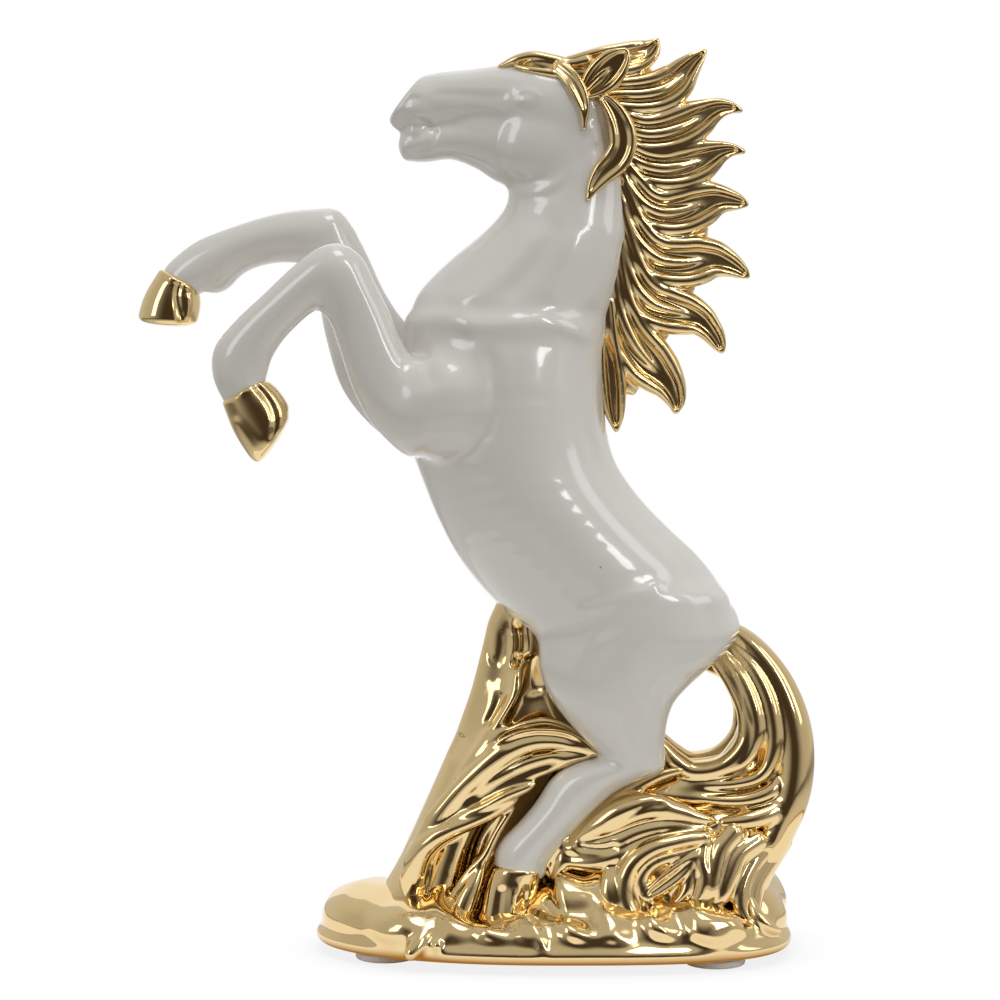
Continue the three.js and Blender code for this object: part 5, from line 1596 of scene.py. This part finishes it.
@dataclass
class Studio:
    """A white tent and floor round the object, open to a dark room behind the camera, with soft boxes."""

    camera_target: Sequence[float] = (8.75 * MM, 0.0, 158.5 * MM)
    camera_distance: float = 1.1
    camera_rise: float = 4.5
    frame_width: float = 0.35
    sensor: float = 36.0
    tent_white: float = 1.0
    # room_dark, room_light and room_back are the tones that the room glows with: painted light and dark for
    # reflections.
    room_dark: str = "#433A31"
    room_light: str = "#C0BFBC"
    room_back: str = "#D2D1CE"
    paper_end: float = 0.75
    side_from: float = 0.35
    top_from: float = 0.5
    back_part: Sequence[float] = (-0.4, 1.2)
    room_radius: float = 1.7
    room_near: float = 0.22
    room_height: float = 2.0
    room_lift: float = 0.003
    room_cove: Sequence[float] = (0.97, 0.06)
    room_half_angle: float = 160.0
    ceiling_edge: float = 0.3
    floor_radius: float = 3.0
    floor_sides: int = 96
    floor_white: str = "#E6E6E3"
    # shadow_reach to contact_part set the painted contact shadow in the floor's glow; bounce_part and
    # painted_gold_bounce set a painted gold bounce that only glossy rays see.
    shadow_reach: float = 0.03
    shadow_edge: Sequence[float] = (0.13, 0.22)
    painted_contact_shade: float = 0.86
    contact_part: Sequence[float] = (0.3, 0.9)
    bounce_part: Sequence[float] = (0.35, 0.95)
    painted_gold_bounce: str = "#B98A45"
    soft_boxes: Sequence[SoftBox] = (
        SoftBox("tall_soft_box", (0.88, -1.1, 1.05), (0.17, 1.0), 3.4),
        SoftBox("right_soft_box", (1.3, -0.5, 0.9), (0.5, 1.0), 2.2),
        SoftBox("top_soft_box", (0.25, -0.4, 1.6), (0.5, 0.5), 2.8),
        SoftBox("left_soft_box", (-1.05, -1.0, 0.9), (0.45, 0.9), 2.6))

    def _camera(self) -> None:
        """The camera at the photograph's angle: its lens takes frame_width across at the target."""
        data = bpy.data.cameras.new("camera")
        data.sensor_width = self.sensor
        data.lens = self.sensor * self.camera_distance / self.frame_width
        data.clip_start, data.clip_end = 0.01, 50
        camera = bpy.data.objects.new("camera", data)
        rise = math.radians(self.camera_rise)
        back = Vector((0, -math.cos(rise), math.sin(rise)))
        camera.location = Vector(self.camera_target) + back * self.camera_distance
        camera.rotation_mode = "QUATERNION"
        camera.rotation_quaternion = (-back).to_track_quat("-Z", "Y")
        bpy.context.scene.collection.objects.link(camera)
        bpy.context.scene.camera = camera

    def _tent(self) -> None:
        """The world: an even white tent."""
        world = bpy.data.worlds.new("tent")
        world.use_nodes = True
        tree = world.node_tree
        tree.nodes.clear()
        shade = add_node(tree, "ShaderNodeBackground", inputs={"Strength": self.tent_white, "Color": (1, 1, 1, 1)})
        add_node(tree, "ShaderNodeOutputWorld", {"Surface": shade.outputs["Background"]})
        bpy.context.scene.world = world

    def _room(self) -> None:
        """The room that the tent is open to: its floor, wall and ceiling, for reflections and not for the camera.

        A point of the profile at radius r, turned by a from the camera's side, is at (r sin a, -r cos a). The
        room is not lit but glows: its painted tone goes from room_dark to room_light towards the ceiling and the
        sides, and on to room_back behind the object and on the paper at its foot, a dark sheet on the camera's side
        and pale surroundings elsewhere that are seen in reflections.
        """
        profile = ((self.room_near, self.room_lift), (self.room_radius * self.room_cove[0], self.room_lift),
                   (self.room_radius, self.room_cove[1]), (self.room_radius, self.room_height),
                   (self.ceiling_edge, self.room_height))
        turn = np.radians(np.linspace(-self.room_half_angle, self.room_half_angle, 49))
        points = [(r * math.sin(a), -r * math.cos(a), z) for r, z in profile for a in turn]
        count = len(turn)
        faces = [(row * count + i, row * count + i + 1, (row + 1) * count + i + 1, (row + 1) * count + i)
                 for row in range(len(profile) - 1) for i in range(count - 1)]
        mesh = bpy.data.meshes.new("room")
        mesh.from_pydata(points, [], faces)
        room = bpy.data.objects.new("room", mesh)
        room.visible_camera = False
        bpy.context.scene.collection.objects.link(room)
        made = bpy.data.materials.new("dark_room_glow")
        made.use_nodes = True
        tree = made.node_tree
        tree.nodes.clear()
        place = add_node(tree, "ShaderNodeTexCoord").outputs["Object"]
        part = add_node(tree, "ShaderNodeSeparateXYZ", {"Vector": place})
        aside = add_node(tree, "ShaderNodeMath", {0: part.outputs["X"]}, operation="ABSOLUTE")
        side = add_node(tree, "ShaderNodeMapRange", {"Value": aside.outputs["Value"]},
                        {"From Min": self.side_from, "From Max": self.room_radius},
                        interpolation_type="SMOOTHSTEP")
        top = add_node(tree, "ShaderNodeMapRange", {"Value": part.outputs["Z"]},
                       {"From Min": self.top_from, "From Max": self.room_height},
                       interpolation_type="SMOOTHSTEP")
        pale = add_node(tree, "ShaderNodeMath", {0: side.outputs["Result"], 1: top.outputs["Result"]},
                        operation="MAXIMUM")
        tone = add_node(tree, "ShaderNodeMix", {"Factor": pale.outputs["Value"]},
                        {6: linear(self.room_dark), 7: linear(self.room_light)}, data_type="RGBA")
        behind = add_node(tree, "ShaderNodeMapRange", {"Value": part.outputs["Y"]},
                          {"From Min": self.back_part[0], "From Max": self.back_part[1]},
                          interpolation_type="SMOOTHSTEP")
        far = add_node(tree, "ShaderNodeVectorMath", {0: place}, operation="LENGTH")
        paper = add_node(tree, "ShaderNodeMapRange", {"Value": far.outputs["Value"]},
                         {"From Min": self.room_near, "From Max": self.paper_end, "To Min": 1.0, "To Max": 0.0},
                         interpolation_type="SMOOTHSTEP")
        open_side = add_node(tree, "ShaderNodeMath", {0: behind.outputs["Result"], 1: paper.outputs["Result"]},
                             operation="MAXIMUM")
        whole = add_node(tree, "ShaderNodeMix", {"Factor": open_side.outputs["Value"], 6: tone.outputs[2]},
                         {7: linear(self.room_back)}, data_type="RGBA")
        # The room's tone is emitted: painted light and dark for reflections, standing in for a lit room.
        glow = add_node(tree, "ShaderNodeEmission", {"Color": whole.outputs[2]}, {"Strength": 1.0})
        add_node(tree, "ShaderNodeOutputMaterial", {"Surface": glow.outputs["Emission"]})
        mesh.materials.append(made)

    def _floor(self) -> None:
        """A round floor that runs out into the white behind it. To camera, glossy and transmission rays it glows white,
        and the object's shadow on it is a painted contact shadow, where ambient occlusion dims the glow near the
        object.
        """
        turn = np.linspace(0, 2 * np.pi, self.floor_sides, endpoint=False)
        mesh = bpy.data.meshes.new("floor")
        points = np.stack([np.cos(turn) * self.floor_radius, np.sin(turn) * self.floor_radius, 0 * turn], 1)
        mesh.from_pydata(points.tolist(), [], [list(range(self.floor_sides))])
        floor = bpy.data.objects.new("floor", mesh)
        bpy.context.scene.collection.objects.link(floor)
        made = bpy.data.materials.new("matt_white_paper")
        made.use_nodes = True
        tree = made.node_tree
        tree.nodes.clear()
        place = add_node(tree, "ShaderNodeTexCoord").outputs["Object"]
        far = add_node(tree, "ShaderNodeVectorMath", {0: place}, operation="LENGTH")
        edge = add_node(tree, "ShaderNodeMapRange", {"Value": far.outputs["Value"]},
                        {"From Min": self.shadow_edge[0], "From Max": self.shadow_edge[1]},
                        interpolation_type="SMOOTHSTEP")
        # Painted contact shadow: ambient occlusion near the object dims the floor's glow.
        near = add_node(tree, "ShaderNodeAmbientOcclusion", inputs={"Distance": self.shadow_reach}, samples=16)
        shade = add_node(tree, "ShaderNodeMapRange", {"Value": near.outputs["AO"]},
                         {"From Min": self.contact_part[0], "From Max": self.contact_part[1],
                          "To Min": self.painted_contact_shade, "To Max": 1.0})
        lit = add_node(tree, "ShaderNodeMath", {0: shade.outputs["Result"], 1: edge.outputs["Result"]},
                       operation="MAXIMUM")
        light = add_node(tree, "ShaderNodeLightPath")
        # Painted gold bounce: glossy rays see the floor's glow tinted gold where occlusion near the base is deep, in
        # place of light reflected from the gilt.
        tucked = add_node(tree, "ShaderNodeMapRange", {"Value": near.outputs["AO"]},
                          {"From Min": self.bounce_part[0], "From Max": self.bounce_part[1],
                           "To Min": 1.0, "To Max": 0.0})
        painted_bounce_share = add_node(tree, "ShaderNodeMath", {0: tucked.outputs["Result"], 1: light.outputs["Is Glossy Ray"]},
                        operation="MULTIPLY")
        bounce = add_node(tree, "ShaderNodeMix", {"Factor": painted_bounce_share.outputs["Value"]},
                          {6: (1, 1, 1, 1), 7: linear(self.painted_gold_bounce)}, data_type="RGBA")
        paper = add_node(tree, "ShaderNodeBsdfDiffuse", inputs={"Color": linear(self.floor_white)})
        glow = add_node(tree, "ShaderNodeEmission", {"Strength": lit.outputs["Value"], "Color": bounce.outputs[2]})
        seen = light.outputs["Is Camera Ray"]
        for ray in ("Is Glossy Ray", "Is Transmission Ray"):
            seen = add_node(tree, "ShaderNodeMath", {0: seen, 1: light.outputs[ray]},
                            operation="MAXIMUM").outputs["Value"]
        mix = add_node(tree, "ShaderNodeMixShader", {0: seen, 1: paper.outputs["BSDF"], 2: glow.outputs["Emission"]})
        add_node(tree, "ShaderNodeOutputMaterial", {"Surface": mix.outputs["Shader"]})
        mesh.materials.append(made)

    def _light(self, box: SoftBox) -> None:
        """Sets up a soft box.

        Args:
            box: its place, size and power.
        """
        data = bpy.data.lights.new(box.name, "AREA")
        data.shape = "RECTANGLE"
        data.size, data.size_y = box.size
        data.energy = box.watts
        lamp = bpy.data.objects.new(box.name, data)
        lamp.location = box.place
        lamp.rotation_mode = "QUATERNION"
        lamp.rotation_quaternion = (Vector(self.camera_target) - Vector(box.place)).to_track_quat("-Z", "Y")
        bpy.context.scene.collection.objects.link(lamp)

    def build(self) -> None:
        """The whole studio."""
        scene = bpy.context.scene
        scene.view_settings.view_transform = "Standard"
        self._camera()
        self._tent()
        self._floor()
        self._room()
        for box in self.soft_boxes:
            self._light(box)


def main() -> None:
    """Builds the studio and every sub-assembly in order."""
    logging.basicConfig(level=logging.INFO, format="%(name)s: %(message)s")
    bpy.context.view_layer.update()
    Studio().build()
    glaze, gold, rubber = WhiteGlaze().material(), GoldLustre().material(), ClearBumper().material()
    Horse().build(glaze)
    Hooves().build(gold)
    Mane().build(gold)
    HeadHair().build(gold)
    Tail().build(gold)
    Trunk().build(gold)
    Scrolls().build(gold)
    RockBase().build(gold)
    BumperPads().build(rubber)


if __name__ == "__main__":
    main()
